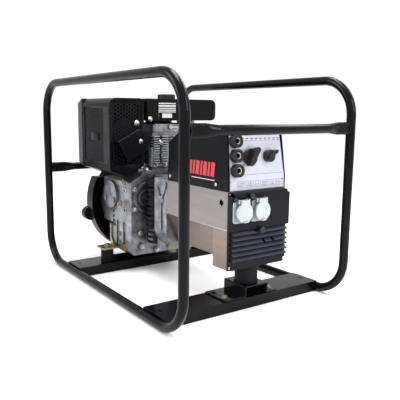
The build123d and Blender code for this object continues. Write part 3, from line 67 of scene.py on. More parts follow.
for packed in bpy.data.materials:
    packed.name = "packed_" + packed.name
print("nodes:", len(frame["nodes"]), "box:", cad_box)

# %% [markdown]
# The camera stands at eye height to the right of the exhaust side, a little above the tank.
# Its place, angles and lens were fitted together, so that the frame's tubes line up in the view.

# %% Camera
camera_data = bpy.data.cameras.new("studio_camera")
camera_data.sensor_width = 36
camera_data.lens = 48.06
camera_data.shift_x = 0.0252
camera_data.shift_y = -0.0104
camera_data.clip_end = 60
camera = bpy.data.objects.new("studio_camera", camera_data)
bpy.context.collection.objects.link(camera)
turn = Matrix.Rotation(math.radians(55.33), 4, "Z") @ Matrix.Rotation(math.radians(90 - 8.957), 4, "X")
roll = Matrix.Rotation(math.radians(0.49), 4, "Z")
camera.matrix_world = Matrix.Translation((1.3508, -0.9014, 0.5162)) @ turn @ roll
bpy.context.scene.camera = camera
print("camera at", tuple(round(v, 3) for v in camera.location))

# %% [markdown]
# Black gloss paint shows what stands round it, so the lights are large and soft.
# One broad panel hangs overhead, one stands by the exhaust side, and one faces the console.

# %% Lights and floor
def softbox(name, place, aim, size, power):
    """A large square light panel turned towards a point."""
    data = bpy.data.lights.new(name, "AREA")
    data.shape = "RECTANGLE"
    data.size, data.size_y = size
    data.energy = power
    lamp = bpy.data.objects.new(name, data)
    bpy.context.collection.objects.link(lamp)
    lamp.location = place
    lamp.rotation_euler = (Vector(aim) - Vector(place)).to_track_quat("-Z", "Y").to_euler()
    return lamp


softbox("overhead_panel", (0.1, 0.1, 2.1), (0, 0, 0.3), (1.5, 0.7), 34)
softbox("exhaust_side_panel", (-0.9, -2.0, 1.5), (0, 0, 0.3), (0.9, 1.2), 20)
softbox("far_strip", (0.2, 1.7, 2.0), (0, 0, 0.4), (2.2, 0.4), 16)
softbox("console_side_panel", (2.3, 0.7, 1.5), (0.2, 0, 0.3), (0.8, 1.2), 22)
world = bpy.data.worlds.new("studio_white")
world.use_nodes = True
world.node_tree.nodes["Background"].inputs["Color"].default_value = (1, 1, 1, 1)
world.node_tree.nodes["Background"].inputs["Strength"].default_value = 0.86
bpy.context.scene.world = world
bpy.context.scene.view_settings.view_transform = "Standard"
bpy.context.scene.view_settings.exposure = 0.3

floor_bm = bmesh.new()
bmesh.ops.create_grid(floor_bm, x_segments=1, y_segments=1, size=12)
floor_mesh = bpy.data.meshes.new("studio_floor")
floor_bm.to_mesh(floor_mesh)
floor_bm.free()
floor = bpy.data.objects.new("studio_floor", floor_mesh)
bpy.context.collection.objects.link(floor)
floor_paint = bpy.data.materials.new("pale_floor")
floor_paint.use_nodes = True
floor_paint.node_tree.nodes["Principled BSDF"].inputs["Base Color"].default_value = (0.97, 0.97, 0.97, 1)
floor_paint.node_tree.nodes["Principled BSDF"].inputs["Roughness"].default_value = 0.9
floor_mesh.materials.append(floor_paint)

# %% [markdown]
# Every finish starts from one recipe: a base colour that drifts a little, a roughness that drifts
# with it, and a fine bump. The numbers decide whether it reads as paint, casting or rubber.
# All patterns use Object coordinates, so they stay with the metal when it moves.

# %% The finish recipe
def finish(name, colour, roughness, metallic=0.0, drift=0.12, drift_size=9.0, grain=0.1, grain_size=700.0,
           stretch=(1, 1, 1), coat=0.0, second=None, shine=0.5, edge=0.8, painted_shade=0.0):
    """A material whose colour, roughness and bump all vary in space.

    edge rounds the look of sharp edges, in millimetres, and the amount of painted shade darkens the colour
    in the corners that ambient occlusion finds.
    """
    material = bpy.data.materials.new(name)
    material.use_nodes = True
    nodes, links = material.node_tree.nodes, material.node_tree.links
    skin = nodes["Principled BSDF"]
    skin.inputs["Metallic"].default_value = metallic
    skin.inputs["Specular IOR Level"].default_value = shine
    skin.inputs["Coat Weight"].default_value = coat
    skin.inputs["Coat Roughness"].default_value = 0.08
    place = nodes.new("ShaderNodeTexCoord")
    scale = nodes.new("ShaderNodeMapping")
    scale.inputs["Scale"].default_value = stretch
    links.new(place.outputs["Object"], scale.inputs["Vector"])
    cloud = nodes.new("ShaderNodeTexNoise")
    cloud.inputs["Scale"].default_value = drift_size
    cloud.inputs["Detail"].default_value = 6
    cloud.inputs["Roughness"].default_value = 0.65
    links.new(scale.outputs["Vector"], cloud.inputs["Vector"])
    ramp = nodes.new("ShaderNodeValToRGB")
    ramp.color_ramp.elements[0].position = 0.3
    ramp.color_ramp.elements[1].position = 0.72
    other = second or [c * (1 + drift) for c in colour]
    ramp.color_ramp.elements[0].color = (*[c * (1 - drift) for c in colour], 1)
    ramp.color_ramp.elements[1].color = (*other, 1)
    links.new(cloud.outputs["Fac"], ramp.inputs["Fac"])
    # Painted shade: ambient occlusion darkens the base colour in corners and recesses.
    if painted_shade:
        corner = nodes.new("ShaderNodeAmbientOcclusion")
        corner.samples = 4
        corner.inputs["Distance"].default_value = 0.022
        darken = nodes.new("ShaderNodeMapRange")
        darken.inputs["To Min"].default_value = 1 - painted_shade
        darken.inputs["From Min"].default_value = 0.35
        links.new(corner.outputs["AO"], darken.inputs["Value"])
        mixer = nodes.new("ShaderNodeVectorMath")
        mixer.operation = "SCALE"
        links.new(ramp.outputs["Color"], mixer.inputs[0])
        links.new(darken.outputs["Result"], mixer.inputs["Scale"])
        links.new(mixer.outputs["Vector"], skin.inputs["Base Color"])
    else:
        links.new(ramp.outputs["Color"], skin.inputs["Base Color"])
    spread = nodes.new("ShaderNodeMapRange")
    spread.inputs["To Min"].default_value = roughness * 0.82
    spread.inputs["To Max"].default_value = min(1, roughness * 1.2)
    links.new(cloud.outputs["Fac"], spread.inputs["Value"])
    links.new(spread.outputs["Result"], skin.inputs["Roughness"])
    fine = nodes.new("ShaderNodeTexNoise")
    fine.inputs["Scale"].default_value = grain_size
    fine.inputs["Detail"].default_value = 3
    links.new(scale.outputs["Vector"], fine.inputs["Vector"])
    bump = nodes.new("ShaderNodeBump")
    bump.inputs["Strength"].default_value = grain
    bump.inputs["Distance"].default_value = 0.0006
    links.new(fine.outputs["Fac"], bump.inputs["Height"])
    soften = nodes.new("ShaderNodeBevel")
    soften.samples = 4
    soften.inputs["Radius"].default_value = edge * mm
    links.new(soften.outputs["Normal"], bump.inputs["Normal"])
    links.new(bump.outputs["Normal"], skin.inputs["Normal"])
    return material


# %% [markdown]
# The frame is gloss black: deep, with a trace of orange peel.
# Engine sheet metal has the same black but duller, and the moulded covers are finely grained.

# %% Blacks
frame_black = finish("frame_black", (0.003, 0.003, 0.004), 0.15, drift=0.3, grain=0.1, grain_size=160,
                     shine=0.12)
engine_black = finish("engine_black", (0.0035, 0.0035, 0.005), 0.34, drift=0.3, grain=0.25,
                      grain_size=420, shine=0.1)
console_black = finish("console_black", (0.003, 0.003, 0.004), 0.3, drift=0.3, grain=0.15,
                       grain_size=500, shine=0.08)
finish("moulded_black", (0.004, 0.004, 0.008), 0.4, drift=0.25, grain=0.4, grain_size=1500, shine=0.12)
finish("filter_plastic", (0.007, 0.009, 0.013), 0.42, drift=0.2, grain=0.35, grain_size=1300, shine=0.15)
finish("grip_plastic", (0.01, 0.01, 0.011), 0.55, drift=0.2, grain=0.4, grain_size=1200, shine=0.3)
finish("insulator_black", (0.007, 0.007, 0.008), 0.5, drift=0.2, grain=0.3, grain_size=1400, shine=0.3)
finish("knob_black", (0.007, 0.007, 0.009), 0.3, drift=0.2, grain=0.12, grain_size=900, shine=0.35)
finish("button_black", (0.016, 0.017, 0.026), 0.5, drift=0.2, grain=0.3, grain_size=1200, shine=0.3)
rubber_black = finish("rubber_black", (0.009, 0.009, 0.011), 0.6, drift=0.25, grain=0.4, grain_size=800,
                      shine=0.1)
finish("exhaust_steel", (0.06, 0.05, 0.045), 0.62, 0.7, drift=0.4, drift_size=25, grain=0.5, grain_size=500)

# %% [markdown]
# The castings are taken to be aluminium: pale, slightly blue, with a coarse skin and shade painted
# into their corners, as are the cylinder iron and the contact brass. The wrapped alternator casing
# is brushed stainless, so its grain is stretched along the shaft.

# %% Bare metals
cast_alloy = finish("cast_alloy", (0.17, 0.172, 0.19), 0.36, 0.85, drift=0.32, drift_size=34, grain=0.8,
                    grain_size=560,
                    second=(0.46, 0.465, 0.51), edge=1.8, painted_shade=0.85)
cylinder_iron = finish("cylinder_iron", (0.34, 0.35, 0.38), 0.5, 0.8, drift=0.3, drift_size=45,
                       grain=0.7, grain_size=500, painted_shade=0.6)
stainless = finish("stainless", (0.235, 0.215, 0.215), 0.34, 0.95, drift=0.1, drift_size=70, grain=0.22,
                   grain_size=900,
                   stretch=(0.06, 1, 1), edge=2.2)
bearing_steel = finish("bearing_steel", (0.42, 0.43, 0.45), 0.3, 1.0, drift=0.12, drift_size=60,
                       grain=0.1, grain_size=900)
finish("forged_steel", (0.28, 0.28, 0.29), 0.42, 1.0, drift=0.2, drift_size=60, grain=0.3, grain_size=700)
finish("flywheel_iron", (0.12, 0.12, 0.125), 0.6, 0.6, drift=0.25, drift_size=40, grain=0.7, grain_size=500)
bolt_steel = finish("bolt_steel", (0.55, 0.54, 0.51), 0.26, 1.0, drift=0.15, drift_size=120, grain=0.12,
                    grain_size=900)
finish("lamination", (0.16, 0.16, 0.17), 0.5, 0.9, drift=0.2, drift_size=30, grain=0.9, grain_size=900,
                    stretch=(4, 0.2, 0.2))
zinc_steel = finish("zinc_steel", (0.36, 0.27, 0.12), 0.34, 0.9, drift=0.25, drift_size=60, grain=0.15,
                    grain_size=800,
                    second=(0.38, 0.38, 0.24))
brass_plug = finish("brass_plug", (0.38, 0.25, 0.15), 0.36, 1.0, drift=0.25, drift_size=90, grain=0.2,
                    grain_size=700)
finish("contact_brass", (0.72, 0.56, 0.34), 0.24, 1.0, drift=0.15, drift_size=90, grain=0.1, grain_size=900,
                       painted_shade=0.97)
finish("plate_aluminium", (0.62, 0.62, 0.61), 0.4, 0.6, drift=0.08, drift_size=60, grain=0.1,
       grain_size=900)

# %% [markdown]
# Below its fold the casing looks browner than above it, where the warm ground is mirrored in the sheet.
# The cause is not known: it may be only the ground mirrored in the sheet. That reflection is painted
# here as a tint in the finish, which the height along Z switches on, so it stays whatever stands round
# the set. The two colours are multiplied.

# %% Painted reflection on the casing's lower slope
tint_nodes, tint_links = stainless.node_tree.nodes, stainless.node_tree.links
where = tint_nodes.new("ShaderNodeTexCoord")
split = tint_nodes.new("ShaderNodeSeparateXYZ")
fold_z = 0.217
height = tint_nodes.new("ShaderNodeMapRange")
height.inputs["From Min"].default_value = fold_z - 0.003
height.inputs["From Max"].default_value = fold_z + 0.001
# The multiplied colour is a painted reflection of the warm ground.
painted_reflection = tint_nodes.new("ShaderNodeMix")
painted_reflection.data_type = "RGBA"
painted_reflection.blend_type = "MULTIPLY"
painted_reflection.inputs["B"].default_value = (1.02, 0.88, 0.74, 1)
flip = tint_nodes.new("ShaderNodeMath")
flip.operation = "SUBTRACT"
flip.inputs[0].default_value = 1
tint_links.new(where.outputs["Object"], split.inputs[0])
tint_links.new(split.outputs["Z"], height.inputs["Value"])
tint_links.new(height.outputs["Result"], flip.inputs[1])
tint_links.new(flip.outputs[0], painted_reflection.inputs["Factor"])
base_link = next(k for k in tint_links if k.to_socket.name == "Base Color")
base_from = base_link.from_socket
tint_links.remove(base_link)
tint_links.new(base_from, painted_reflection.inputs["A"])
tint_links.new(painted_reflection.outputs["Result"], tint_nodes["Principled BSDF"].inputs["Base Color"])
print("tinted below", fold_z)

# %% [markdown]
# The console panel is silver lacquer, nearly white, and the outlet lids are a cool white plastic
# with shade painted into their corners.

# %% Pale finishes
finish("panel_silver", (0.50, 0.51, 0.60), 0.38, 0.25, drift=0.04, drift_size=14, grain=0.12,
       grain_size=1500)
socket_white = finish("socket_white", (0.43, 0.475, 0.475), 0.36, drift=0.04, drift_size=20, grain=0.08,
                      grain_size=900, painted_shade=0.55)
print("finishes:", len(bpy.data.materials))

# %% [markdown]
# The record names a material slot for every CAD node. Each node's own slots are pointed at the
# finish of the same name, and its mesh is left alone.

# %% Give each CAD node its finish
slot_of = {part["node"]: part["material_slot"] for part in frame["record"]["subparts"]}
for node, obj in frame["nodes"].items():
    for place in obj.material_slots:
        place.material = bpy.data.materials[slot_of[node]]
print("dressed", len(slot_of), "nodes")

# %% [markdown]
# New pieces are all made the same way: a bmesh is shaped, its normals are set, it becomes an
# object at the origin, and it rides on the body that carries it.

# %% The piece helper
root = "welder_set"


def make_piece(name, bm, material, body=root, smooth=None, instead_of=()):
    """Turns a bmesh into a finished piece that rides on a body."""
    mesh = bpy.data.meshes.new(name)
    bm.to_mesh(mesh)
    bm.free()
    mesh.materials.append(material)
    if smooth is not None:
        mesh.shade_smooth()
        mesh.set_sharp_from_angle(angle=math.radians(smooth))
    piece = bpy.data.objects.new(name, mesh)
    bpy.context.collection.objects.link(piece)
    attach(piece, body)
    if instead_of:
        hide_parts(*instead_of)
    print(name, len(mesh.polygons), "faces")
    return piece


# %% [markdown]
# Small hardware is drawn once and placed many times. A bolt is a washer and a six sided head with
# its rim turned down, and a plain bar is a cube whose edges are rolled over by a bevel.

# %% Hardware helpers
def towards(place, direction):
    """A matrix that stands a shape at a place, given in millimetres, with its Z along a direction."""
    stand = Vector(direction).to_track_quat("Z", "Y").to_matrix().to_4x4()
    return Matrix.Translation(Vector(place) * mm) @ stand


def soften_rim(bm, edges, width, segments=2):
    bmesh.ops.bevel(bm, geom=edges, offset=width * mm, segments=segments, profile=0.5, affect="EDGES",
                    material=-1)


def add_disc(bm, matrix, radius, height, segments=32, rim=0.0):
    """A disc standing on its matrix, with a rolled rim if one is given."""
    middle = matrix @ Matrix.Translation((0, 0, height * mm / 2))
    made = bmesh.ops.create_cone(bm, cap_ends=True, segments=segments, radius1=radius * mm,
                                 radius2=radius * mm, depth=height * mm, matrix=middle)
    if rim:
        inverse = matrix.inverted()
        top = [e for v in made["verts"] for e in v.link_edges
               if all((inverse @ w.co).z > height * mm * 0.9 for w in e.verts)]
        soften_rim(bm, list(set(top)), rim)


def add_bar(bm, low, high, rim=0.0, turn=None):
    """A bar between two corners, given in millimetres."""
    low, high = Vector(low) * mm, Vector(high) * mm
    size = Matrix.Diagonal((*(high - low), 1))
    middle = Matrix.Translation((low + high) / 2)
    made = bmesh.ops.create_cube(bm, size=1, matrix=(turn or Matrix()) @ middle @ size)
    if rim:
        soften_rim(bm, list({e for v in made["verts"] for e in v.link_edges}), rim)


def add_bolt(bm, place, direction, across):
    """A washer with a hexagon head on it."""
    stand = towards(place, direction)
    add_disc(bm, stand, across * 0.95, across * 0.14, 28, across * 0.04)
    head = stand @ Matrix.Translation((0, 0, across * 0.14 * mm)) @ Matrix.Rotation(0.3, 4, "Z")
    add_disc(bm, head, across * 0.577, across * 0.55, 6, across * 0.09)


# %% [markdown]
# The exhaust guard is a folded sheet box. Its front and its open side are perforated so the
# muffler can breathe. The box is one outline, extruded along the shaft; each perforated face is
# inset to leave a frame, the middle is taken out, and Solidify gives the sheet its thickness.

# %% The guard's folded shell
guard_low, guard_high = (Vector(c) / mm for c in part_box("muffler_guard"))
guard_mid_y = (guard_low.y + guard_high.y) / 2
bm = bmesh.new()
outline = [(guard_low.y, guard_low.z + 22), (guard_mid_y, guard_low.z), (guard_high.y, guard_low.z + 34),
           (guard_high.y, guard_high.z), (guard_low.y, guard_high.z)]
corners = [bm.verts.new(Vector((guard_low.x, y, z)) * mm) for y, z in outline]
bm.faces.new(corners)
for corner, round_by in ((corners[4], 24), (corners[3], 14)):
    bmesh.ops.bevel(bm, geom=[corner], offset=round_by * mm, segments=6, profile=0.5, affect="VERTICES",
                    material=-1)
grown = bmesh.ops.extrude_face_region(bm, geom=bm.faces[:])
bmesh.ops.translate(bm, vec=((guard_high.x - guard_low.x) * mm, 0, 0),
                    verts=[g for g in grown["geom"] if isinstance(g, bmesh.types.BMVert)])
bmesh.ops.recalc_face_normals(bm, faces=bm.faces[:])
side_window = ((-302, -160), (358, 526))
front_window = ((-172, -72), (352, 542))
seam_span = (507.2, 509)
level_cuts = side_window[1] + front_window[1] + seam_span
for axis, bounds in ((0, side_window[0]), (1, front_window[0]), (2, level_cuts)):
    for bound in bounds:
        plane = [0, 0, 0]
        plane[axis] = 1
        bmesh.ops.bisect_plane(bm, geom=bm.verts[:] + bm.edges[:] + bm.faces[:],
                               plane_co=Vector(plane) * bound * mm, plane_no=plane)


def inside(face, axis, window):
    """Whether a face's middle lies in a window given by its two spans."""
    middle = face.calc_center_median() / mm
    return window[0][0] < middle[axis] < window[0][1] and window[1][0] < middle.z < window[1][1]


holes = [f for f in bm.faces if f.normal.x > 0.99 and inside(f, 1, front_window)]
holes += [f for f in bm.faces if f.normal.y < -0.99 and inside(f, 0, side_window)]
bmesh.ops.delete(bm, geom=holes, context="FACES")
seam = [f for f in bm.faces if seam_span[0] < f.calc_center_median().z / mm < seam_span[1]
        and abs(f.normal.z) < 0.5]
bmesh.ops.inset_region(bm, faces=seam, thickness=0.3 * mm, depth=-1.2 * mm)
shell = make_piece("muffler_guard_shell", bm, engine_black, smooth=35, instead_of=("muffler_guard",))
wall = shell.modifiers.new("sheet", "SOLIDIFY")
wall.thickness = 1.6 * mm
wall.offset = -1

# %% [markdown]
# Perforated sheet is a grid of cells. Every whole cell is inset and its middle removed, and the
# cut corners of each hole round it off. Turning and squeezing the grid before trimming it to size
# gives the staggered holes of the front and the slanting slits of the side.

# %% Perforated panels
def perforated(name, width, height, pitch, angle, web, place, squeeze=(1, 1)):
    """A trimmed panel of staggered holes, made flat and then stood in place."""
    bm = bmesh.new()
    reach = width + height
    count = int(reach / pitch)
    bmesh.ops.create_grid(bm, x_segments=count, y_segments=count, size=count * pitch / 2 * mm)
    bmesh.ops.rotate(bm, verts=bm.verts[:], cent=(0, 0, 0), matrix=Matrix.Rotation(math.radians(45), 3, "Z"))
    bmesh.ops.scale(bm, vec=(*squeeze, 1), verts=bm.verts[:])
    bmesh.ops.rotate(bm, verts=bm.verts[:], cent=(0, 0, 0),
                     matrix=Matrix.Rotation(math.radians(angle), 3, "Z"))
    whole = max(f.calc_area() for f in bm.faces)
    for normal, edge in (((1, 0, 0), width / 2), ((-1, 0, 0), width / 2), ((0, 1, 0), height / 2),
                         ((0, -1, 0), height / 2)):
        bmesh.ops.bisect_plane(bm, geom=bm.verts[:] + bm.edges[:] + bm.faces[:],
                               plane_co=Vector(normal) * edge * mm, plane_no=normal, clear_outer=True)
    cells = [f for f in bm.faces if f.calc_area() > 0.98 * whole]
    bmesh.ops.inset_individual(bm, faces=cells, thickness=web * mm, use_even_offset=True)
    for f in cells:
        f.material_index = 1
    rims = list({v for f in cells for v in f.verts})
    bmesh.ops.bevel(bm, geom=rims, offset=web * 0.9 * mm, segments=2, profile=0.5, affect="VERTICES",
                    material=-1)
    bmesh.ops.delete(bm, geom=[f for f in bm.faces if f.material_index == 1], context="FACES")
    bmesh.ops.transform(bm, matrix=place, verts=bm.verts[:])
    panel = make_piece(name, bm, engine_black)
    thick = panel.modifiers.new("sheet", "SOLIDIFY")
    thick.thickness = 1.4 * mm
    return panel


facing_x = Matrix(((0, 0, 1), (1, 0, 0), (0, 1, 0))).to_4x4()
facing_y = Matrix(((1, 0, 0), (0, 0, -1), (0, 1, 0))).to_4x4()
perforated("muffler_guard_front_mesh", 106, 194, 10.5, 0, 2.3,
           Matrix.Translation(Vector((guard_high.x - 1.9, guard_mid_y, 447)) * mm) @ facing_x, (1.3, 0.75))
perforated("muffler_guard_side_mesh", 146, 172, 7.5, 32, 1.6,
           Matrix.Translation(Vector((-231, guard_low.y + 1.9, 442)) * mm) @ facing_y, (1.8, 0.6))

# %% [markdown]
# The front of the guard carries the exhaust hood's bolt and two more, all zinc plated steel. The
# side has a blank raised plate where a maker would put a badge.

# %% Guard hardware
bm = bmesh.new()
add_bolt(bm, (guard_high.x + 0.3, -89, 480), (1, 0, 0), 9)
add_bolt(bm, (-118, -40, 492), (1, 0, 0), 8)
hood_high = Vector(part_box("exhaust_deflector")[1]) / mm
add_bolt(bm, (hood_high.x, -89, 425), (1, 0, 0), 7)
make_piece("guard_bolts", bm, bolt_steel, smooth=35)
bm = bmesh.new()
add_bar(bm, (-248, guard_low.y - 1.2, 425), (-196, guard_low.y + 3, 449), rim=1.1)
make_piece("guard_blank_plate", bm, engine_black, smooth=35)

# %% [markdown]
# The console's front is screen printed. The print is ink a few hundredths thick, so it is built
# as very thin bars: a ring of tick marks round each control and a row of plain symbol boxes.
# Words and marks are left out. Everything is drawn flat and then laid on the leaning panel.

# %% Ink on the console panel
switch_low, switch_high = (Vector(c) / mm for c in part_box("current_switch"))
selector_low, selector_high = (Vector(c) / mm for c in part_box("selector_knob"))
panel_high = Vector(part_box("console_panel")[1]) / mm
bend_z, lean = 347.0, math.atan2(15, 128)
panel_bend = Matrix.Translation(Vector((panel_high.x, 0, bend_z)) * mm)
leaning = panel_bend @ Matrix.Rotation(-lean, 4, "Y") @ facing_x
upright = panel_bend @ facing_x


def ink_bar(bm, y0, y1, v0, v1, lay, tall=0.12):
    """A printed bar from y0 to y1 and from v0 to v1 above the bend, laid on the panel."""
    add_bar(bm, (y0, v0, -0.05), (y1, v1, tall), turn=lay)


def ticks(bm, centre_y, centre_z, radius, count, first, last):
    for i in range(count):
        angle = math.radians(first + (last - first) * i / (count - 1))
        centre = Matrix.Translation(Vector((centre_y, centre_z - bend_z, 0)) * mm)
        spin_to = centre @ Matrix.Rotation(-angle, 4, "Z")
        long = 4.5 if i % 3 == 0 else 2.6
        add_bar(bm, (-0.5, radius, -0.05), (0.5, radius + long, 0.12), turn=leaning @ spin_to)


bm = bmesh.new()
switch_y = (switch_low.y + switch_high.y) / 2
selector_y = (selector_low.y + selector_high.y) / 2
ticks(bm, switch_y, 402, 26, 19, -135, 135)
ticks(bm, selector_y, 402, 19, 7, -60, 60)
for i in range(9):
    y = -20 + i * 15.5
    ink_bar(bm, y, y + 9, 102, 104, leaning)
    ink_bar(bm, y, y + 5 + i % 3 * 2, 97.5, 98.7, leaning)
ink_bar(bm, -30, 118, 10, 10.7, leaning)
make_piece("panel_ink", bm, console_black)

bm = bmesh.new()
for i, (y, wide) in enumerate(((-38, 26), (-6, 22), (22, 12), (40, 30), (76, 18), (98, 18))):
    for v0, v1 in ((-6.6, -6.0), (-22, -21.4)):
        ink_bar(bm, y, y + wide, v0, v1, upright)
    for side_y in (y, y + wide - 0.6):
        ink_bar(bm, side_y, side_y + 0.6, -22, -6, upright)
    for row in range(3):
        ink_bar(bm, y + 4, y + wide - 4 - (row + i) % 3 * 2, -11.5 - row * 3.6, -10.6 - row * 3.6, upright)
make_piece("panel_symbols", bm, console_black)

# %% [markdown]
# A plain red band with a white rule is stuck on the console's side. It carries no wording.

# %% Side band
band_red = finish("band_red", (0.5, 0.02, 0.035), 0.4, drift=0.06, grain=0.05, grain_size=600)
console_low = Vector(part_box("console_box")[0]) / mm
bm = bmesh.new()
slant = Matrix.Rotation(math.radians(8), 4, "Y")
for i, wide in enumerate((16, 9, 16, 9, 16, 9, 16)):
    place = Matrix.Translation(Vector((146 + i * 17, console_low.y, 368)) * mm) @ slant
    add_bar(bm, (-wide / 2, -0.5, -19), (wide / 2, 0.3, 19), rim=0.15, turn=place)
band = make_piece("side_band", bm, band_red)
bm = bmesh.new()
add_bar(bm, (152, console_low.y - 0.5, 339), (256, console_low.y + 0.3, 341.5), rim=0.1)
make_piece("side_band_rule", bm, socket_white)

# %% [markdown]
# The data plate on the tank is pale metal with dark printed rows, and no wording. The cylinder's
# cast front has two columns of short cooling fins, which are bars set out on a pitch.

# %% Plate rows and cylinder fins
plate_low, plate_high = (Vector(c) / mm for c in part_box("nameplate"))
bm = bmesh.new()
for low, high in ((0, 5), (19, 22), (25.5, 27.5), (31, 33), (37, 40), (46, 49)):
    add_bar(bm, (plate_high.x - 0.1, plate_low.y, plate_low.z + low),
            (plate_high.x + 0.15, plate_high.y, plate_low.z + high))
for y0, y1 in ((0, 12), (50, 64)):
    add_bar(bm, (plate_high.x - 0.1, plate_low.y + y0, plate_low.z + 5),
            (plate_high.x + 0.15, plate_low.y + y1, plate_low.z + 19))
make_piece("plate_rows", bm, console_black)
cylinder_high = Vector(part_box("cylinder")[1]) / mm
bm = bmesh.new()
for row in range(12):
    z = 352 + row * 7.6
    for y0, y1 in ((-30, -7), (1, 24)):
        if not 372 < z < 376:
            add_bar(bm, (cylinder_high.x - 2, y0, z), (cylinder_high.x + 6, y1, z + 3.2), rim=0.9)
make_piece("cylinder_front_fins", bm, cylinder_iron, smooth=40)
# A thin black bar between the two fin columns is painted shade for the gap.
bm = bmesh.new()
add_bar(bm, (cylinder_high.x - 1, -6.5, 350), (cylinder_high.x + 0.4, 0.5, 440), rim=0.2)
make_piece("cylinder_front_gap_shade", bm, engine_black)
bm = bmesh.new()
add_bolt(bm, (cylinder_high.x + 0.5, -22, 346), (1, 0, 0), 9)
add_bolt(bm, (cylinder_high.x + 0.5, 14, 346), (1, 0, 0), 9)
add_bolt(bm, (cylinder_high.x + 1, -3, 418), (1, 0, 0), 9)
make_piece("cylinder_front_bolts", bm, bolt_steel, smooth=35)

# %% [markdown]
# The upper faces of the end cover's louvres catch the light from above, so thin bars of a paler
# finish are laid on the slopes: a painted highlight. A bead of brighter steel marks the casing's
# fold, and its bright line is a painted highlight. Each welding outlet gets a brass ring at its
# mouth: a circle swept round the outlet's axis, which the record's mounts give.

# %% Painted louvre highlights, casing fold and outlet rings
louvre_painted_highlight = finish("louvre_painted_highlight", (0.055, 0.059, 0.082), 0.55, drift=0.2, grain=0.3, grain_size=1400,
                     shine=0.2)
cover_low, cover_high = (Vector(c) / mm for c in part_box("end_cover"))
louvre_drop, louvre_reach = 7.5, 13.0
slope_length = math.hypot(louvre_drop, louvre_reach)
slope_turn = Matrix.Rotation(math.atan2(louvre_drop, louvre_reach), 4, "Y")
louvre_count, louvre_pitch, louvre_top_z, louvre_root_x = 6, 13.6, 213, 320
bm = bmesh.new()
for i in range(louvre_count):
    top_z = louvre_top_z - i * louvre_pitch
    seat = Matrix.Translation(Vector((louvre_root_x, 0, top_z)) * mm) @ slope_turn
    spans = [(cover_low.y + 5, cover_high.y - 5)]
    if i == 2:
        spans = [(cover_low.y + 5, 39.5), (48.5, 71.5), (80.5, cover_high.y - 5)]
    for y0, y1 in spans:
        add_bar(bm, (0.8, y0, -0.3), (slope_length - 0.6, y1, 0.5), rim=0.25, turn=seat)
faces = make_piece("louvre_painted_highlights", bm, louvre_painted_highlight, smooth=40)
casing_low, casing_high = (Vector(c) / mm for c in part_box("alternator_casing"))
# The bead is brighter steel than the casing, so its line along the fold is a painted highlight.
bm = bmesh.new()
add_bar(bm, (casing_low.x + 1, casing_low.y - 0.5, fold_z / mm - 1),
        (casing_high.x - 1, casing_low.y + 0.6, fold_z / mm + 1), rim=0.45)
make_piece("casing_fold_highlight", bm, bearing_steel, smooth=40)
bm = bmesh.new()
for mount in frame["record"]["mounts"]:
    if mount["name"].startswith("weld_outlet"):
        made = bmesh.ops.create_circle(bm, segments=10, radius=1.5 * mm)
        fresh = made["verts"]
        bmesh.ops.rotate(bm, verts=fresh, cent=(0, 0, 0), matrix=Matrix.Rotation(math.radians(90), 3, "X"))
        bmesh.ops.translate(bm, verts=fresh, vec=((mount["dims"]["r_mm"] + 1.2) * mm, 0, 0))
        rims = list({e for v in fresh for e in v.link_edges})
        bmesh.ops.spin(bm, geom=fresh + rims, cent=(0, 0, 0), axis=(0, 0, 1), angle=math.tau, steps=32,
                       use_merge=True)
        fresh = [v for v in bm.verts if not v.tag]
        bmesh.ops.transform(bm, matrix=towards(Vector(mount["pos_m"]) / mm, mount["axis"]), verts=fresh)
        for v in fresh:
            v.tag = True
        print(mount["name"], mount["pos_m"], mount["axis"], mount["dims"])
bmesh.ops.recalc_face_normals(bm, faces=bm.faces[:])
ring_brass = finish("ring_brass", (0.80, 0.62, 0.40), 0.3, 1.0, drift=0.1, drift_size=90, grain=0.1,
                    grain_size=900)
rings = make_piece("weld_outlet_rings", bm, ring_brass, smooth=60)
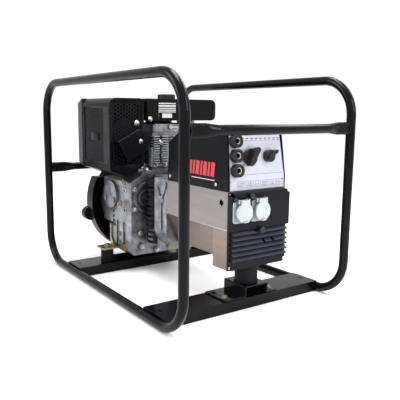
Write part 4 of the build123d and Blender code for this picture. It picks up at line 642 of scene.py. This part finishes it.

# %% [markdown]
# The crankcase is cast with round bosses. Two near its corner are open bores and two hold plated
# plugs, so each is a disc with a rolled rim and a dark disc or a bolt on it. They are set out from
# the casting's outermost face, so they stand off the wall behind them. Two more bolts stand for
# the ones that hold the near mounting angle. The dark disc on an open boss is painted shade for the inside
# of the bore.

# %% Crankcase bosses
near_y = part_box("crankcase")[0][1] / mm
bm = bmesh.new()
for x, z, radius in ((-126, 270, 9), (-126, 208, 9), (-160, 224, 10), (-134, 296, 10)):
    add_disc(bm, towards((x, near_y + 1, z), (0, -1, 0)), radius, 5, 32, 1.6)
make_piece("crankcase_bosses", bm, cast_alloy, smooth=40)
# Flat black discs on the two open bosses are painted shade for the inside of the bores.
bm = bmesh.new()
for x, z in ((-126, 270), (-126, 208)):
    add_disc(bm, towards((x, near_y - 3.9, z), (0, -1, 0)), 4.2, 0.3, 24)
make_piece("crankcase_boss_bore_shade", bm, rubber_black)
bm = bmesh.new()
add_bolt(bm, (-160, near_y - 4, 224), (0, -1, 0), 9)
add_bolt(bm, (-134, near_y - 4, 296), (0, -1, 0), 10)
make_piece("crankcase_plugs", bm, brass_plug, smooth=35)
bm = bmesh.new()
angle_front_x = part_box("rear_mount_angles")[1][0] / mm
for z in (87, 119):
    add_bolt(bm, (angle_front_x, -112, z), (1, 0, 0), 8)
make_piece("mount_angle_bolts", bm, zinc_steel, smooth=35)

# %% [markdown]
# Where tube meets tube or channel the frame is welded. Each bead is a ring round the joint:
# a torus swept by spinning a small circle round the tube's own line.

# %% Weld beads
def weld_ring(bm, place, direction, radius, bead=2.4):
    """A bead that runs round a joint."""
    made = bmesh.ops.create_circle(bm, segments=8, radius=bead * mm)
    bmesh.ops.rotate(bm, verts=made["verts"], cent=(0, 0, 0),
                     matrix=Matrix.Rotation(math.radians(90), 3, "X"))
    bmesh.ops.translate(bm, verts=made["verts"], vec=(radius * mm, 0, 0))
    edges = list({e for v in made["verts"] for e in v.link_edges})
    bmesh.ops.spin(bm, geom=made["verts"] + edges, cent=(0, 0, 0), axis=(0, 0, 1), angle=math.tau, steps=28,
                   use_merge=True)
    fresh = [v for v in bm.verts if not v.tag]
    bmesh.ops.transform(bm, matrix=towards(place, direction), verts=fresh)
    for v in bm.verts:
        v.tag = True


frame_high = Vector(cad_box[1]) / mm
tube_r = 12.5
hoop_y, leg_x = frame_high.y - tube_r, frame_high.x - tube_r
bm = bmesh.new()
front_bar_z, rear_bar_z = 476, 325
for side in (-1, 1):
    for x, z in ((leg_x, front_bar_z), (-leg_x, rear_bar_z)):
        weld_ring(bm, (x, side * (hoop_y - 12), z), (0, 1, 0), 9.5, 2.2)
bmesh.ops.recalc_face_normals(bm, faces=bm.faces[:])
make_piece("frame_welds", bm, frame_black, smooth=60)
